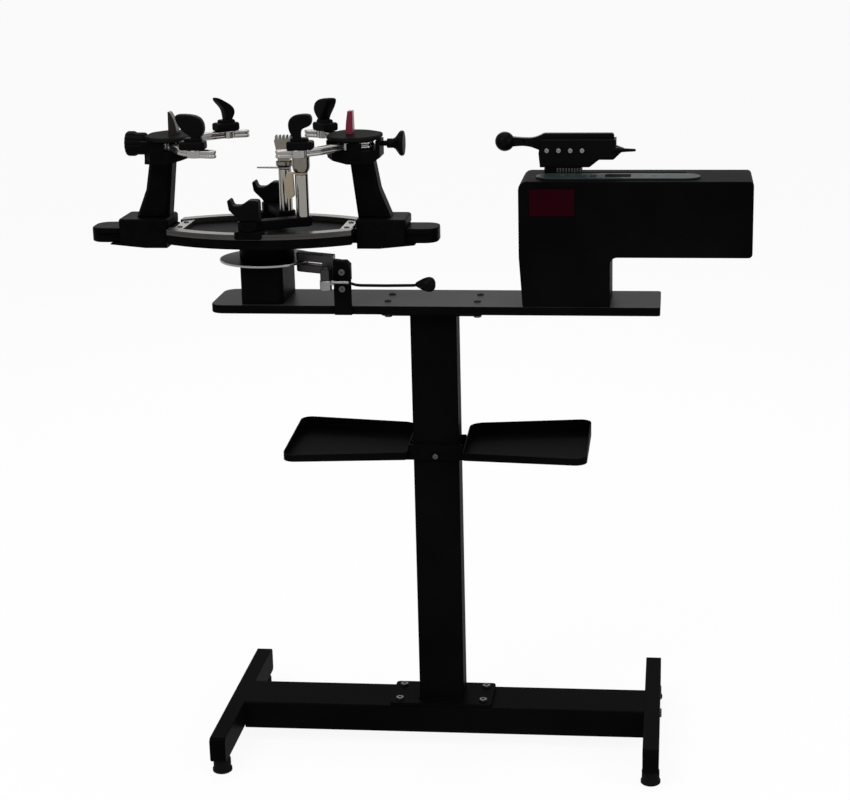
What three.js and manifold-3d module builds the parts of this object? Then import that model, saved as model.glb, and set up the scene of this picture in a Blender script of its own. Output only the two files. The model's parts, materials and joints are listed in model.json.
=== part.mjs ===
// Upright electronic stringing machine for badminton rackets.
// Sizes are in millimetres. +Z is up, +X runs from the turntable to the tension head, +Y is the back.

import * as THREE from 'three';
import { mergeVertices } from 'three/addons/utils/BufferGeometryUtils.js';
import Module from 'manifold-3d';

// Clearances and facets shared by all pieces
const touchGap = 0.3;
const cutOverrun = 4;
const weldReach = 0.001;
const cornerSteps = 1;
const circleSteps = 10;
const turningSteps = 12;
const nutSides = 6;
const wideCircleSteps = 24;
const discSteps = 36;
const ballSteps = 6;

// Rubber pads, foot bars and cross beam
const glideDiameter = 30;
const glideHeight = 24.7;
const glideEdge = 3;
const glideReach = 155;
const footBarWidth = 24.5;
const footBarHeight = 39.8;
const footBarLength = 361;
const footBarRounding = 7;
const leftFootReach = 337.8;
const rightFootReach = 343.3;
const footBoltDiameter = 14;
const footBoltRise = 2.6;
const crossBeamDepth = 86;
const crossBeamHeight = 44.5;
const crossBeamRounding = 3;
const tubeWall = 4;

// Column with its two bolted flanges
const columnWidth = 70;
const columnDepth = 50;
const columnHeight = 634.3;
const columnRounding = 5;
const footFlangeLength = 160;
const footFlangeThickness = 5.5;
const footScrewSpread = 66;
const footScrewSide = 27;
const headFlangeLength = 150;
const headFlangeDepth = 90;
const headFlangeThickness = 5;
const headScrewSpread = 67;
const headScrewSide = 24;
const flangeRounding = 6;
const screwHeadDiameter = 12;
const screwHeadRise = 3.4;
const screwHeadEdge = 1;
const nutHeight = 5.8;

// Top beam
const beamLeftReach = 330.3;
const beamRightReach = 338.3;
const beamDepth = 117.8;
const beamThickness = 12.8;
const beamLeftRounding = 20;
const beamRightRounding = 5;
const beamEdge = 1;

// Tool trays and their bracket
const trayFloorLevel = 470;
const trayDepth = 22;
const trayWall = 2.2;
const trayColumnGap = 7;
const trayOuterReach = 231;
const trayInnerFront = 45;
const trayInnerBack = 88;
const trayOuterFront = 64;
const trayOuterBack = 118;
const trayRounding = 20;
const trayFrontRounding = 5;
const bracketReach = 78;
const bracketDepth = 60;
const bracketThickness = 4;
const bracketHeight = 24;
const bracketScrewLevel = 7;

// Turntable pedestal, bearing, spindle, brake disc and hub
const turntablePlace = -252;
const pedestalDiameter = 88;
const pedestalHeight = 57.4;
const pedestalEdge = 2;
const spindleDiameter = 24;
const spindleBoreGap = 1.5;
const spindleClearance = 2.4;
const bearingDiameter = 42;
const bearingHeight = 12;
const discClearance = 1;
const discDiameter = 142;
const discThickness = 3;
const hubDiameter = 88;
const hubHeight = 27;

// Turntable with curved clamp rails
const turntableLength = 524;
const turntableWidth = 59;
const turntableThickness = 21.5;
const turntableRounding = 20;
const turntableEdge = 1.2;
const tableSlotHeight = 3;
const tableSlotDepth = 3;
const tableSlotLevel = 12;
const centreLength = 276;
const centreBottomRise = 2;
const centreFloorRise = 16;
const railCurveRadius = 250;
const middleHalfWidth = 95;
const railWidth = 18;
const railHeight = 8;
const railGrooveHeight = 1.5;
const railGrooveDepth = 1.4;
const railBracketWidth = 16;
const railBracketHeight = 6;
const railBracketInset = 4;
const railBracketScrewSide = 20;
const railBracketScrewDiameter = 8;
const railBracketScrewRise = 1.5;

// Mounting towers: foot, post, head casting and cover
const towerGap = 3;
const towerFootLength = 75;
const towerFootHeight = 14.5;
const towerFootWidth = 72;
const towerFootEdge = 2;
const clampPlateThickness = 6.7;
const clampPlateLength = 88;
const clampPlateTipThickness = 1.5;
const clampPlateFlatShare = 0.4;
const clampPlateBoltDiameter = 16;
const postInnerTop = -8;
const postOuterFoot = 52;
const postOuterTop = 27;
const postDepth = 36;
const postEdge = 5;
const headCastingBottom = 919;
const headCastingTop = 938;
const headOuter = 46;
const headNose = -42;
const headNoseWidth = 34;
const headShoulder = -27;
const headHalfWidth = 58;
const headBackShoulder = 15;
const headOuterWidth = 44;
const headRounding = 8;
const headSlopeInner = -7;
const headSlopeRise = 8;
const armLayerHeight = 12;
const headWebLength = 22;
const headWebWidth = 30;
const headRearWall = 11;
const headSideWall = 4;
const headSideWallInner = -5;
const headSideWallLength = 20;
const headCoverHeight = 8;
const headCoverEdge = 2.4;
const centreSupportFoot = -16;
const centreSupportLength = 13;
const centreSupportTop = 6;
const centreSupportHeight = 34;
const centreSupportDepth = 20;
const centreSupportEdge = 1.2;

// Turning knob with its spindle
const knobShaftDiameter = 8;
const knobShaftInset = 2;
const knobCollarDiameter = 14;
const knobFlangeDiameter = 37;
const knobLength = 25;
const knobFlangeThickness = 5;
const knobNeckShare = 0.45;

// Swing arms and frame adaptors
const armPivotU = -11;
const armPivotV = 32;
const armRearInset = 11;
const armRearV = 14;
const armElbowU = -41;
const armElbowV = 80;
const armTipU = -66;
const armTipV = 105;
const armEndU = -91;
const armEndV = 112;
const armWidth = 14;
const armPivotDiameter = 10;
const armEyeDiameter = 24;
const armSlotWidth = 6.4;
const armTipPinDiameter = 7;
const adaptorBaseLength = 38;
const adaptorBaseWidth = 26;
const adaptorBaseHeight = 12;
const adaptorBaseForward = 3;
const adaptorBaseRounding = 6;
const adaptorBaseEdge = 2;
const adaptorStemWidth = 13;
const adaptorNeckWidth = 8;
const adaptorNeckRise = 8;
const adaptorStemHeight = 14;
const adaptorHookReach = 29;
const adaptorHookHeight = 40;
const adaptorHookLip = 12;
const adaptorHookThickness = 17;
const adaptorHookWidth = 16;
const adaptorHookRounding = 5;
const adaptorHookEdge = 3;
const adaptorBackTurn = Math.PI / 4;

// String clamps: slider, lock, swing arm, post, nut, jaw and levers
const clampPlace = -6;
const sliderLength = 40;
const sliderWidth = 30;
const sliderTopThickness = 5;
const sliderGrip = 6.8;
const sliderEdge = 1.5;
const clampSpindleDiameter = 14;
const swingArmLength = 83;
const swingArmThickness = 13.7;
const swingArmHubDiameter = 34;
const swingArmEyeDiameter = 27;
const swingArmWidth = 22;
const swingArmEdge = 1.5;
const frontArmTurn = THREE.MathUtils.degToRad(30);
const backArmTurn = THREE.MathUtils.degToRad(-64);
const lockWidth = 22;
const lockHeight = 31;
const lockReach = 17;
const hornReach = 29;
const hornHeight = 34;
const hornFoot = 12;
const lockSaddleHeight = 23;
const lockRounding = 4;
const lockEdge = 1.6;
const lockScrewDiameter = 9;
const clampPostDiameter = 19.5;
const clampPostHeight = 62;
const clampSpigotDiameter = 8;
const jawLeverThickness = 2.4;
const nutDiameter = 26;
const frontNutHeight = 22;
const backNutHeight = 8;
const nutTaperShare = 0.6;
const jawWidth = 27;
const jawFootWidth = 18;
const jawDepth = 13;
const jawHeight = 32;
const jawFrontHeight = 21;
const jawSlit = 1.2;
const jawFootHeight = 6;
const jawTeeth = 5;
const jawToothHeight = 7;
const jawToothShare = 0.55;
const jawToothTipShare = 0.35;
const jawBladeReach = 42;
const jawBladeWidth = 7;
const jawPaddleReach = 26;
const jawPaddleDrop = 40;
const jawPaddleWidth = 9;
const jawPaddleThickness = 5;

// Turntable brake
const brakeBracketLeft = -141;
const brakeBracketRight = -115;
const brakeBracketThickness = 5.8;
const brakeBracketHeight = 81;
const brakeBracketRounding = 12;
const brakeBoltDiameter = 11;
const brakeBoltLowLevel = 40;
const brakeBoltHighLevel = 65;
const brakeBoltRise = 3;
const caliperLeft = -158;
const caliperDepth = 14;
const caliperJawX = -194;
const caliperJawY = -25;
const caliperJawWidth = 17;
const caliperUpperThickness = 12.4;
const caliperLowerThickness = 12;
const caliperGap = 0.6;
const leverPivotX = -151;
const leverPivotY = -72;
const leverLugWidth = 16;
const leverLugThickness = 16;
const leverPinDiameter = 6;
const leverPinHeadDiameter = 10;
const leverPinHeadHeight = 3;
const leverHubDiameter = 18;
const leverHubHeight = 15;
const leverBarThickness = 3;
const leverBarWidth = 10;
const leverBarRise = 8;
const leverLength = 139;
const leverKnobLength = 28;
const leverKnobDiameter = 23;

// Tension head: housing, cover, panel and what it holds inside
const headLeft = 132;
const headRight = 470;
const headBoxBottom = 785;
const headTop = 896;
const headDepth = 116;
const headNeckLeft = 137;
const headNeckRight = 265;
const headWall = 3;
const headTopRounding = 12;
const headEndRounding = 6;
const headInnerFillet = 10;
const backCoverThickness = 3;
const gripperPlaceY = 28;
const slotWidth = 10.6;
const slotLeft = 178;
const slotLength = 196;
const windowLeft = 148;
const windowWidth = 65;
const windowBottom = 846;
const windowHeight = 39;
const windowThickness = 1.6;
const panelLeft = 155;
const panelLength = 240;
const panelFront = -42;
const panelWidth = 50;
const panelThickness = 2.6;
const panelEdge = 0.8;
const buttonDiameter = 10;
const buttonHeight = 3.2;
const buttonFloat = 1;
const buttonGap = 0.4;
const buttonEdge = 0.6;
const buttonPlace = 194;
const buttonPitch = 15;
const buttons = 4;
const displayLeft = 256;
const displayLength = 38;
const displayWidth = 22;
const displayHeight = 3.4;
const screwAxisLevel = 858;
const leadScrewDiameter = 12;
const endBlockThickness = 13;
const endBlockWidth = 52;
const endBlockHeight = 34;
const endBlockRight = 396;
const guideRodDiameter = 10;
const guideRodSide = 19;
const carriageLength = 48;
const carriageLeft = 169;
const stemLength = 14;
const stemWidth = 9;
const motorDiameter = 50;
const motorLength = 62;
const inletLeft = 176;
const inletWidth = 30;
const inletBottom = 738;
const inletHeight = 24;
const inletDepth = 16;
const inletWall = 2.5;
const inletRim = 2;
const inletPinLength = 9;
const inletPinWidth = 3;
const inletPinPitch = 7;
const switchLeft = 218;
const switchWidth = 13;
const switchHeight = 20;
const switchDepth = 9;
const switchGap = 1.2;
const switchRise = 2.4;

// Gripper on its carriage
const gripperFloat = 0.6;
const gripperBaseLeft = 165;
const gripperBaseLength = 56;
const gripperBaseHeight = 9.4;
const gripperBaseWidth = 28;
const gripperWidth = 30;
const gripperSlot = 12;
const gripperFloor = 9;
const gripperLeft = 157;
const gripperFootLeft = 159;
const gripperFootRight = 232;
const gripperStep = 246;
const gripperChin = 267;
const gripperBeak = 282;
const gripperBeakTip = 271;
const gripperStepRise = 11;
const gripperBeakRise = 25;
const gripperCheekHeight = 41;
const gripperEdge = 1.2;
const gripperBoltDiameter = 6.4;
const gripperBoltRise = 1.4;
const gripperBoltRiseLevel = 24;
const gripperBoltPlace = 169.4;
const gripperBoltPitch = 17.3;
const gripperBolts = 4;
const triggerDiameter = 2.6;
const triggerTip = 300;
const gripperLeverLeft = 160;
const gripperLeverRight = 268;
const gripperLeverHeight = 23;
const gripperLeverTop = 49;
const gripperPivotInset = 12;
const gripperPinDiameter = 5;
const gripperBallDiameter = 27.5;
const gripperBallPlace = 106.5;
const gripperNeckDiameter = 7;
const gripperNeckLength = 22;

// Levels and places worked out from the driving sizes
const standTop = glideHeight + footBarHeight;
const beamBottom = standTop + columnHeight;
const beamTop = beamBottom + beamThickness;
const pedestalTop = beamTop + pedestalHeight;
const discBottom = pedestalTop + discClearance;
const discTop = discBottom + discThickness;
const tableBottom = discTop + hubHeight;
const tableTop = tableBottom + turntableThickness;
const tableFloor = tableBottom + centreFloorRise;
const railTop = tableFloor + railHeight;
const towerFootTop = tableTop + towerFootHeight;
const headCoverBottom = headCastingTop + armLayerHeight;
const headCoverTop = headCoverBottom + headCoverHeight;
const armBottom = headCastingTop + touchGap;
const armTop = headCoverBottom - touchGap;
const railCurveOffset = railCurveRadius - middleHalfWidth;
const railCentreRadius = railCurveRadius - railWidth / 2;
const clampRailDrop = Math.sqrt(railCentreRadius ** 2 - clampPlace ** 2) - railCurveOffset;
const clampRailTurn = Math.asin(clampPlace / railCentreRadius);
const swingArmBottom = railTop + sliderTopThickness + touchGap;
const swingArmTop = swingArmBottom + swingArmThickness;
const jawLeverBottom = swingArmTop + clampPostHeight + touchGap;
const nutBottom = jawLeverBottom + jawLeverThickness + touchGap;
const gripperBaseTop = headTop + gripperFloat + gripperBaseHeight;
const boxCentre = (turntablePlace - turntableLength / 2 + headRight) / 2;

// Finishes
const finishes = {
  paint: new THREE.MeshStandardMaterial({ color: 0x141416, roughness: 0.45, metalness: 0.3 }),
  beamPaint: new THREE.MeshStandardMaterial({ color: 0x2a2a2c, roughness: 0.4, metalness: 0.3 }),
  casting: new THREE.MeshStandardMaterial({ color: 0x101012, roughness: 0.5, metalness: 0.2 }),
  plastic: new THREE.MeshStandardMaterial({ color: 0x0e0e10, roughness: 0.35, metalness: 0 }),
  rubber: new THREE.MeshStandardMaterial({ color: 0x0a0a0a, roughness: 0.85, metalness: 0 }),
  chrome: new THREE.MeshStandardMaterial({ color: 0xc8c8c8, roughness: 0.15, metalness: 1 }),
  aluminium: new THREE.MeshStandardMaterial({ color: 0xa8a8a6, roughness: 0.35, metalness: 1 }),
  steel: new THREE.MeshStandardMaterial({ color: 0x8c8c8c, roughness: 0.4, metalness: 1 }),
  brass: new THREE.MeshStandardMaterial({ color: 0xb08d4a, roughness: 0.4, metalness: 1 }),
  red: new THREE.MeshStandardMaterial({ color: 0xb01020, roughness: 0.35, metalness: 0.4 }),
  window: new THREE.MeshStandardMaterial({ color: 0x3a0812, roughness: 0.2, metalness: 0 }),
  panel: new THREE.MeshStandardMaterial({ color: 0x3c4a4c, roughness: 0.4, metalness: 0 }),
  tan: new THREE.MeshStandardMaterial({ color: 0xb09a86, roughness: 0.5, metalness: 0 }),
};

// Solids from three.js geometries
const wasm = await Module();
wasm.setup();

function solidOf(geometry) {
  geometry.deleteAttribute('normal');
  geometry.deleteAttribute('uv');
  const welded = mergeVertices(geometry, weldReach);
  const corners = [];
  for (let i = 0; i < welded.index.count; i += 3) {
    const [a, b, c] = welded.index.array.slice(i, i + 3);
    if (a !== b && b !== c && c !== a) {
      corners.push(a, b, c);
    }
  }
  return new wasm.Manifold(new wasm.Mesh({
    numProp: 3,
    vertProperties: Float32Array.from(welded.attributes.position.array),
    triVerts: Uint32Array.from(corners),
  }));
}

function geometryOf(solid) {
  const mesh = solid.getMesh();
  const geometry = new THREE.BufferGeometry();
  geometry.setAttribute('position', new THREE.BufferAttribute(mesh.vertProperties, 3));
  geometry.setIndex(new THREE.BufferAttribute(mesh.triVerts, 1));
  geometry.computeVertexNormals();
  return geometry;
}

function join(...solids) {
  return solids.reduce((whole, piece) => whole.add(piece));
}

function cut(solid, ...tools) {
  return tools.reduce((rest, tool) => rest.subtract(tool), solid);
}

// The three directions that a prism or a turned piece can lie along
const alongX = new THREE.Matrix4().makeBasis(
  new THREE.Vector3(0, 1, 0), new THREE.Vector3(0, 0, 1), new THREE.Vector3(1, 0, 0));
const alongY = new THREE.Matrix4().makeBasis(
  new THREE.Vector3(1, 0, 0), new THREE.Vector3(0, 0, 1), new THREE.Vector3(0, -1, 0));

// A prism along Z of an outline drawn in X and Y, its two rims chamfered by edge
function slab(outline, low, high, edge = 0, steps = cornerSteps) {
  return solidOf(extruded(outline, low, high, edge, steps));
}

// A prism along X of an outline drawn in Y and Z
function barX(outline, low, high, edge = 0, steps = cornerSteps) {
  return solidOf(extruded(outline, low, high, edge, steps).applyMatrix4(alongX));
}

// A prism along Y of an outline drawn in X and Z
function barY(outline, low, high, edge = 0, steps = cornerSteps) {
  return solidOf(extruded(outline, -high, -low, edge, steps).applyMatrix4(alongY));
}

function extruded(outline, low, high, edge, steps) {
  const geometry = new THREE.ExtrudeGeometry(outline, {
    depth: high - low - 2 * edge,
    curveSegments: steps,
    bevelEnabled: edge > 0,
    bevelThickness: edge,
    bevelSize: edge,
    bevelOffset: -edge,
    bevelSegments: 1,
  });
  return geometry.translate(0, 0, low + edge);
}

function block(x0, x1, y0, y1, z0, z1) {
  const geometry = new THREE.BoxGeometry(x1 - x0, y1 - y0, z1 - z0);
  return solidOf(geometry.translate((x0 + x1) / 2, (y0 + y1) / 2, (z0 + z1) / 2));
}

// An outline through corners [x, y, radius], each rounded by an arc of its radius
function outlineOf(corners) {
  const shape = new THREE.Shape();
  corners.forEach(([x, y, radius = 0], place) => {
    const corner = new THREE.Vector2(x, y);
    const back = new THREE.Vector2(...corners.at(place - 1)).sub(corner).normalize();
    const ahead = new THREE.Vector2(...corners[(place + 1) % corners.length]).sub(corner).normalize();
    if (radius === 0) {
      place === 0 ? shape.moveTo(x, y) : shape.lineTo(x, y);
      return;
    }
    const halfAngle = Math.acos(THREE.MathUtils.clamp(back.dot(ahead), -1, 1)) / 2;
    const start = back.clone().multiplyScalar(radius / Math.tan(halfAngle)).add(corner);
    const end = ahead.clone().multiplyScalar(radius / Math.tan(halfAngle)).add(corner);
    const centre = back.clone().add(ahead).setLength(radius / Math.sin(halfAngle)).add(corner);
    const from = start.sub(centre).angle();
    const to = end.sub(centre).angle();
    if (place === 1 && shape.curves.length === 0) {
      shape.lineTo(centre.x + radius * Math.cos(from), centre.y + radius * Math.sin(from));
    }
    shape.absarc(centre.x, centre.y, radius, from, to, back.cross(ahead) > 0);
  });
  return shape;
}

function rectangle(x0, x1, y0, y1, radius = 0) {
  return outlineOf([[x0, y0, radius], [x1, y0, radius], [x1, y1, radius], [x0, y1, radius]]);
}

function centred(width, depth, radius = 0) {
  return rectangle(-width / 2, width / 2, -depth / 2, depth / 2, radius);
}

function circle(x, y, diameter) {
  const shape = new THREE.Shape();
  shape.absarc(x, y, diameter / 2, 0, 2 * Math.PI, false);
  return shape;
}

// A round pin or hole along Z, X or Y; a and b are its centre in the outline's two directions
function pinZ(a, b, diameter, low, high, edge = 0, steps = circleSteps / 2) {
  return slab(circle(a, b, diameter), low, high, edge, steps);
}

function pinX(a, b, diameter, low, high, edge = 0, steps = circleSteps / 2) {
  return barX(circle(a, b, diameter), low, high, edge, steps);
}

function pinY(a, b, diameter, low, high, edge = 0) {
  return barY(circle(a, b, diameter), low, high, edge, circleSteps / 2);
}

// A flat link with round ends between two places
function link(ax, ay, bx, by, width, low, high, edge = 0) {
  const heading = Math.atan2(by - ay, bx - ax);
  const shape = new THREE.Shape();
  shape.absarc(ax, ay, width / 2, heading + Math.PI / 2, heading - Math.PI / 2, false);
  shape.absarc(bx, by, width / 2, heading - Math.PI / 2, heading + Math.PI / 2, false);
  return slab(shape, low, high, edge, 2 * cornerSteps);
}

// A piece turned about Z or X from a profile of [radius, place] that starts and ends on the axis
function turned(profile, steps = wideCircleSteps) {
  const points = profile.map(([radius, place]) => new THREE.Vector2(radius, place));
  return new THREE.LatheGeometry(points, steps).rotateX(Math.PI / 2);
}

function turnedZ(x, y, profile, steps) {
  return solidOf(turned(profile, steps).translate(x, y, 0));
}

function turnedX(y, z, profile, steps) {
  return solidOf(turned(profile, steps).rotateY(Math.PI / 2).translate(0, y, z));
}

const machine = new THREE.Group();
machine.position.x = -boxCentre;

function add(parent, name, solid, material) {
  const mesh = new THREE.Mesh(geometryOf(solid), material);
  mesh.name = name;
  parent.add(mesh);
}

// Stand

function pad(x, y) {
  return pinZ(x, y, glideDiameter, 0, glideHeight + glideEdge, glideEdge, wideCircleSteps / 3);
}

function footBar(inner, outer) {
  const outline = rectangle(-footBarLength / 2, footBarLength / 2, glideHeight, standTop, footBarRounding);
  const bar = barX(outline, Math.min(inner, outer), Math.max(inner, outer));
  const side = Math.sign(outer);
  const level = (glideHeight + standTop) / 2;
  const ends = [outer - side * cutOverrun, outer + side * footBoltRise].sort((a, b) => a - b);
  const middle = (inner + outer) / 2;
  return join(
    bar, pinX(0, level, footBoltDiameter, ...ends), pad(middle, -glideReach), pad(middle, glideReach));
}

function addStand() {
  const leftInner = -(leftFootReach - footBarWidth);
  const rightInner = rightFootReach - footBarWidth;
  add(machine, 'foot_left', footBar(leftInner, -leftFootReach), finishes.paint);
  add(machine, 'foot_right', footBar(rightInner, rightFootReach), finishes.paint);
  const beamOutline = rectangle(
    -crossBeamDepth / 2, crossBeamDepth / 2, standTop - crossBeamHeight, standTop, crossBeamRounding);
  const beamHollow = rectangle(
    -crossBeamDepth / 2 + tubeWall, crossBeamDepth / 2 - tubeWall,
    standTop - crossBeamHeight + tubeWall, standTop - tubeWall);
  const tube = barX(beamOutline, leftInner, rightInner);
  const hollow = barX(beamHollow, leftInner - cutOverrun, rightInner + cutOverrun);
  add(machine, 'cross_beam', cut(tube, hollow), finishes.paint);
}

// The four places of a rectangle of screws
function fourPlaces(spread, side) {
  return [[-spread, -side], [spread, -side], [spread, side], [-spread, side]];
}

function column() {
  const tube = slab(centred(columnWidth, columnDepth, columnRounding), standTop, beamBottom);
  const footTop = standTop + footFlangeThickness;
  const footFlange = slab(centred(footFlangeLength, crossBeamDepth, flangeRounding), standTop, footTop);
  const headLow = beamBottom - headFlangeThickness;
  const headFlange = slab(centred(headFlangeLength, headFlangeDepth, flangeRounding), headLow, beamBottom);
  const screws = fourPlaces(footScrewSpread, footScrewSide).map(([x, y]) =>
    pinZ(x, y, screwHeadDiameter, standTop, footTop + screwHeadRise));
  const nuts = fourPlaces(headScrewSpread, headScrewSide).map(([x, y]) =>
    pinZ(x, y, screwHeadDiameter, headLow - nutHeight, beamBottom, 0, nutSides / 2));
  const bore = centred(columnWidth - 2 * tubeWall, columnDepth - 2 * tubeWall);
  const hollow = slab(bore, standTop - cutOverrun, beamBottom + cutOverrun);
  return cut(join(tube, footFlange, headFlange, ...screws, ...nuts), hollow);
}

function topBeam() {
  const outline = outlineOf([
    [-beamLeftReach, -beamDepth / 2, beamLeftRounding],
    [beamRightReach, -beamDepth / 2, beamRightRounding],
    [beamRightReach, beamDepth / 2, beamRightRounding],
    [-beamLeftReach, beamDepth / 2, beamLeftRounding],
  ]);
  const screws = fourPlaces(headScrewSpread, headScrewSide).map(([x, y]) =>
    pinZ(x, y, screwHeadDiameter, beamBottom, beamTop + screwHeadRise));
  return join(slab(outline, beamBottom, beamTop, beamEdge, 2 * cornerSteps), ...screws);
}

// Trays

function trayOutline(side, inset) {
  const inner = columnWidth / 2 + trayColumnGap + inset;
  const outer = trayOuterReach - inset;
  return outlineOf([
    [side * inner, -trayInnerFront + inset, trayFrontRounding],
    [side * outer, -trayOuterFront + inset, trayRounding - inset],
    [side * outer, trayOuterBack - inset, trayRounding - inset],
    [side * inner, trayInnerBack - inset, trayRounding - inset],
  ]);
}

function tray(side) {
  const rim = trayFloorLevel + trayDepth;
  return cut(
    slab(trayOutline(side, 0), trayFloorLevel, rim),
    slab(trayOutline(side, trayWall), trayFloorLevel + trayWall, rim + cutOverrun));
}

function trayBracket() {
  const low = trayFloorLevel - bracketThickness;
  const high = low + bracketHeight;
  const wing = columnWidth / 2 + trayColumnGap - touchGap;
  const plate = slab(centred(2 * bracketReach, bracketDepth, flangeRounding), low, trayFloorLevel);
  const collar = block(-wing, wing, -bracketDepth / 2, bracketDepth / 2, low, high);
  const clear = columnWidth / 2 + touchGap;
  const clearDepth = columnDepth / 2 + touchGap;
  const passage = block(-clear, clear, -clearDepth, clearDepth, low - cutOverrun, high + cutOverrun);
  const sideRelief = block(
    -wing - cutOverrun, wing + cutOverrun, -clearDepth, clearDepth, trayFloorLevel, high + cutOverrun);
  const face = -bracketDepth / 2;
  const screw = pinY(
    0, low + bracketScrewLevel, screwHeadDiameter, face - screwHeadRise, -clearDepth, screwHeadEdge);
  return join(cut(join(plate, collar), passage, sideRelief), screw);
}

function addTrays() {
  add(machine, 'tray_left', tray(-1), finishes.paint);
  add(machine, 'tray_right', tray(1), finishes.paint);
  add(machine, 'tray_bracket', trayBracket(), finishes.paint);
}

// Turntable carrier

function pedestal() {
  const seat = pedestalTop - bearingHeight;
  const seatDiameter = bearingDiameter + 2 * touchGap;
  const boreDiameter = spindleDiameter + 2 * spindleBoreGap;
  return cut(
    pinZ(turntablePlace, 0, pedestalDiameter, beamTop, pedestalTop, pedestalEdge, discSteps / 2),
    pinZ(turntablePlace, 0, boreDiameter, beamTop - cutOverrun, pedestalTop + cutOverrun),
    pinZ(turntablePlace, 0, seatDiameter, seat, pedestalTop + cutOverrun, 0, wideCircleSteps / 2));
}

function spindleHole(low, high) {
  const diameter = spindleDiameter + 2 * touchGap;
  return pinZ(turntablePlace, 0, diameter, low - cutOverrun, high + cutOverrun, 0, wideCircleSteps / 2);
}

function bearing() {
  const low = pedestalTop - bearingHeight;
  return cut(
    pinZ(turntablePlace, 0, bearingDiameter, low, low + bearingHeight, 0, wideCircleSteps / 2),
    spindleHole(low, low + bearingHeight));
}

function brakeDisc() {
  return cut(
    pinZ(turntablePlace, 0, discDiameter, discBottom, discTop, 0, discSteps / 2),
    spindleHole(discBottom, discTop));
}

function hub() {
  return turnedZ(turntablePlace, 0, [
    [0, beamTop + spindleClearance],
    [spindleDiameter / 2, beamTop + spindleClearance],
    [spindleDiameter / 2, discTop],
    [hubDiameter / 2, discTop],
    [hubDiameter / 2, tableBottom],
    [0, tableBottom],
  ]);
}

// Turntable, drawn about its own centre

const table = new THREE.Group();
table.position.x = turntablePlace;
machine.add(table);

// The middle of the turntable lies inside two big arcs, one from each side
function betweenArcs(radius, length, low, high) {
  const arcs = [-railCurveOffset, railCurveOffset].map((y) =>
    pinZ(0, y, 2 * radius, low, high, 0, discSteps));
  return arcs[0].intersect(arcs[1]).intersect(
    block(-length / 2, length / 2, -railCurveRadius, railCurveRadius, low, high));
}

function turntable() {
  const outline = centred(turntableLength, turntableWidth, turntableRounding);
  const bar = slab(outline, tableBottom, tableTop, turntableEdge, 2 * cornerSteps);
  const slotLow = tableBottom + tableSlotLevel - tableSlotHeight / 2;
  const slots = [-1, 1].map((side) => {
    const edges = [side * (turntableWidth / 2 - tableSlotDepth), side * (turntableWidth / 2 + cutOverrun)];
    edges.sort((a, b) => a - b);
    return block(-turntableLength / 2, turntableLength / 2, ...edges, slotLow, slotLow + tableSlotHeight);
  });
  const recess = block(
    -centreLength / 2, centreLength / 2, -turntableWidth, turntableWidth, tableFloor, tableTop + cutOverrun);
  const middle = betweenArcs(railCurveRadius, centreLength, tableBottom + centreBottomRise, tableFloor);
  return join(cut(bar, ...slots, recess), middle);
}

// A clamp rail follows one arc; side is -1 for the front rail and 1 for the back one
function rail(side) {
  const place = -side * railCurveOffset;
  const grooveLow = tableFloor + railHeight / 2;
  const outer = pinZ(0, place, 2 * railCurveRadius, tableFloor, railTop, 0, discSteps);
  const inner = pinZ(
    0, place, 2 * (railCurveRadius - railWidth), tableFloor - cutOverrun, railTop + cutOverrun, 0, discSteps);
  const grooveCore = pinZ(
    0, place, 2 * (railCurveRadius - railGrooveDepth), grooveLow, grooveLow + railGrooveHeight, 0, discSteps);
  const grooveBand = pinZ(
    0, place, 2 * (railCurveRadius + cutOverrun), grooveLow, grooveLow + railGrooveHeight, 0, discSteps);
  const nearSide = [0, side * railCurveRadius].sort((a, b) => a - b);
  const reach = block(-centreLength / 2, centreLength / 2, ...nearSide, tableFloor, railTop);
  const track = cut(outer, inner, cut(grooveBand, grooveCore)).intersect(reach);
  return join(track, railBracket(-1, side), railBracket(1, side));
}

// Half of an end bracket, fused to the rail on its side of the turntable
function railBracket(end, side) {
  const near = end * (centreLength / 2 - railBracketInset);
  const ends = [near, near - end * railBracketWidth].sort((a, b) => a - b);
  const across = [side * touchGap, side * railCurveRadius].sort((a, b) => a - b);
  const top = tableFloor + railBracketHeight;
  const reach = betweenArcs(railCurveRadius - railWidth + railGrooveDepth, centreLength, tableFloor, top);
  const plate = block(...ends, ...across, tableFloor, top).intersect(reach);
  const screw = pinZ(
    (ends[0] + ends[1]) / 2, side * railBracketScrewSide, railBracketScrewDiameter,
    top - screwHeadEdge, top + railBracketScrewRise);
  return join(plate, screw);
}

function addTurntable() {
  add(machine, 'pedestal', pedestal(), finishes.casting);
  add(machine, 'turntable_bearing', bearing(), finishes.steel);
  add(machine, 'brake_disc', brakeDisc(), finishes.aluminium);
  add(machine, 'turntable_hub', hub(), finishes.casting);
  add(table, 'turntable', turntable(), finishes.paint);
  add(table, 'rail_front', rail(-1), finishes.aluminium);
  add(table, 'rail_back', rail(1), finishes.aluminium);
}

// Mounting tower, drawn on the +X side of the turntable from the inner face of its foot

// The plan of the tower head: a narrow nose towards the racket and broad shoulders
function headPlan() {
  return outlineOf([
    [headNose, -headNoseWidth / 2, headRounding / 2],
    [headShoulder, -headHalfWidth, headRounding],
    [headBackShoulder, -headHalfWidth, headRounding],
    [headOuter, -headOuterWidth / 2, headRounding],
    [headOuter, headOuterWidth / 2, headRounding],
    [headBackShoulder, headHalfWidth, headRounding],
    [headShoulder, headHalfWidth, headRounding],
    [headNose, headNoseWidth / 2, headRounding / 2],
  ]);
}

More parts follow.
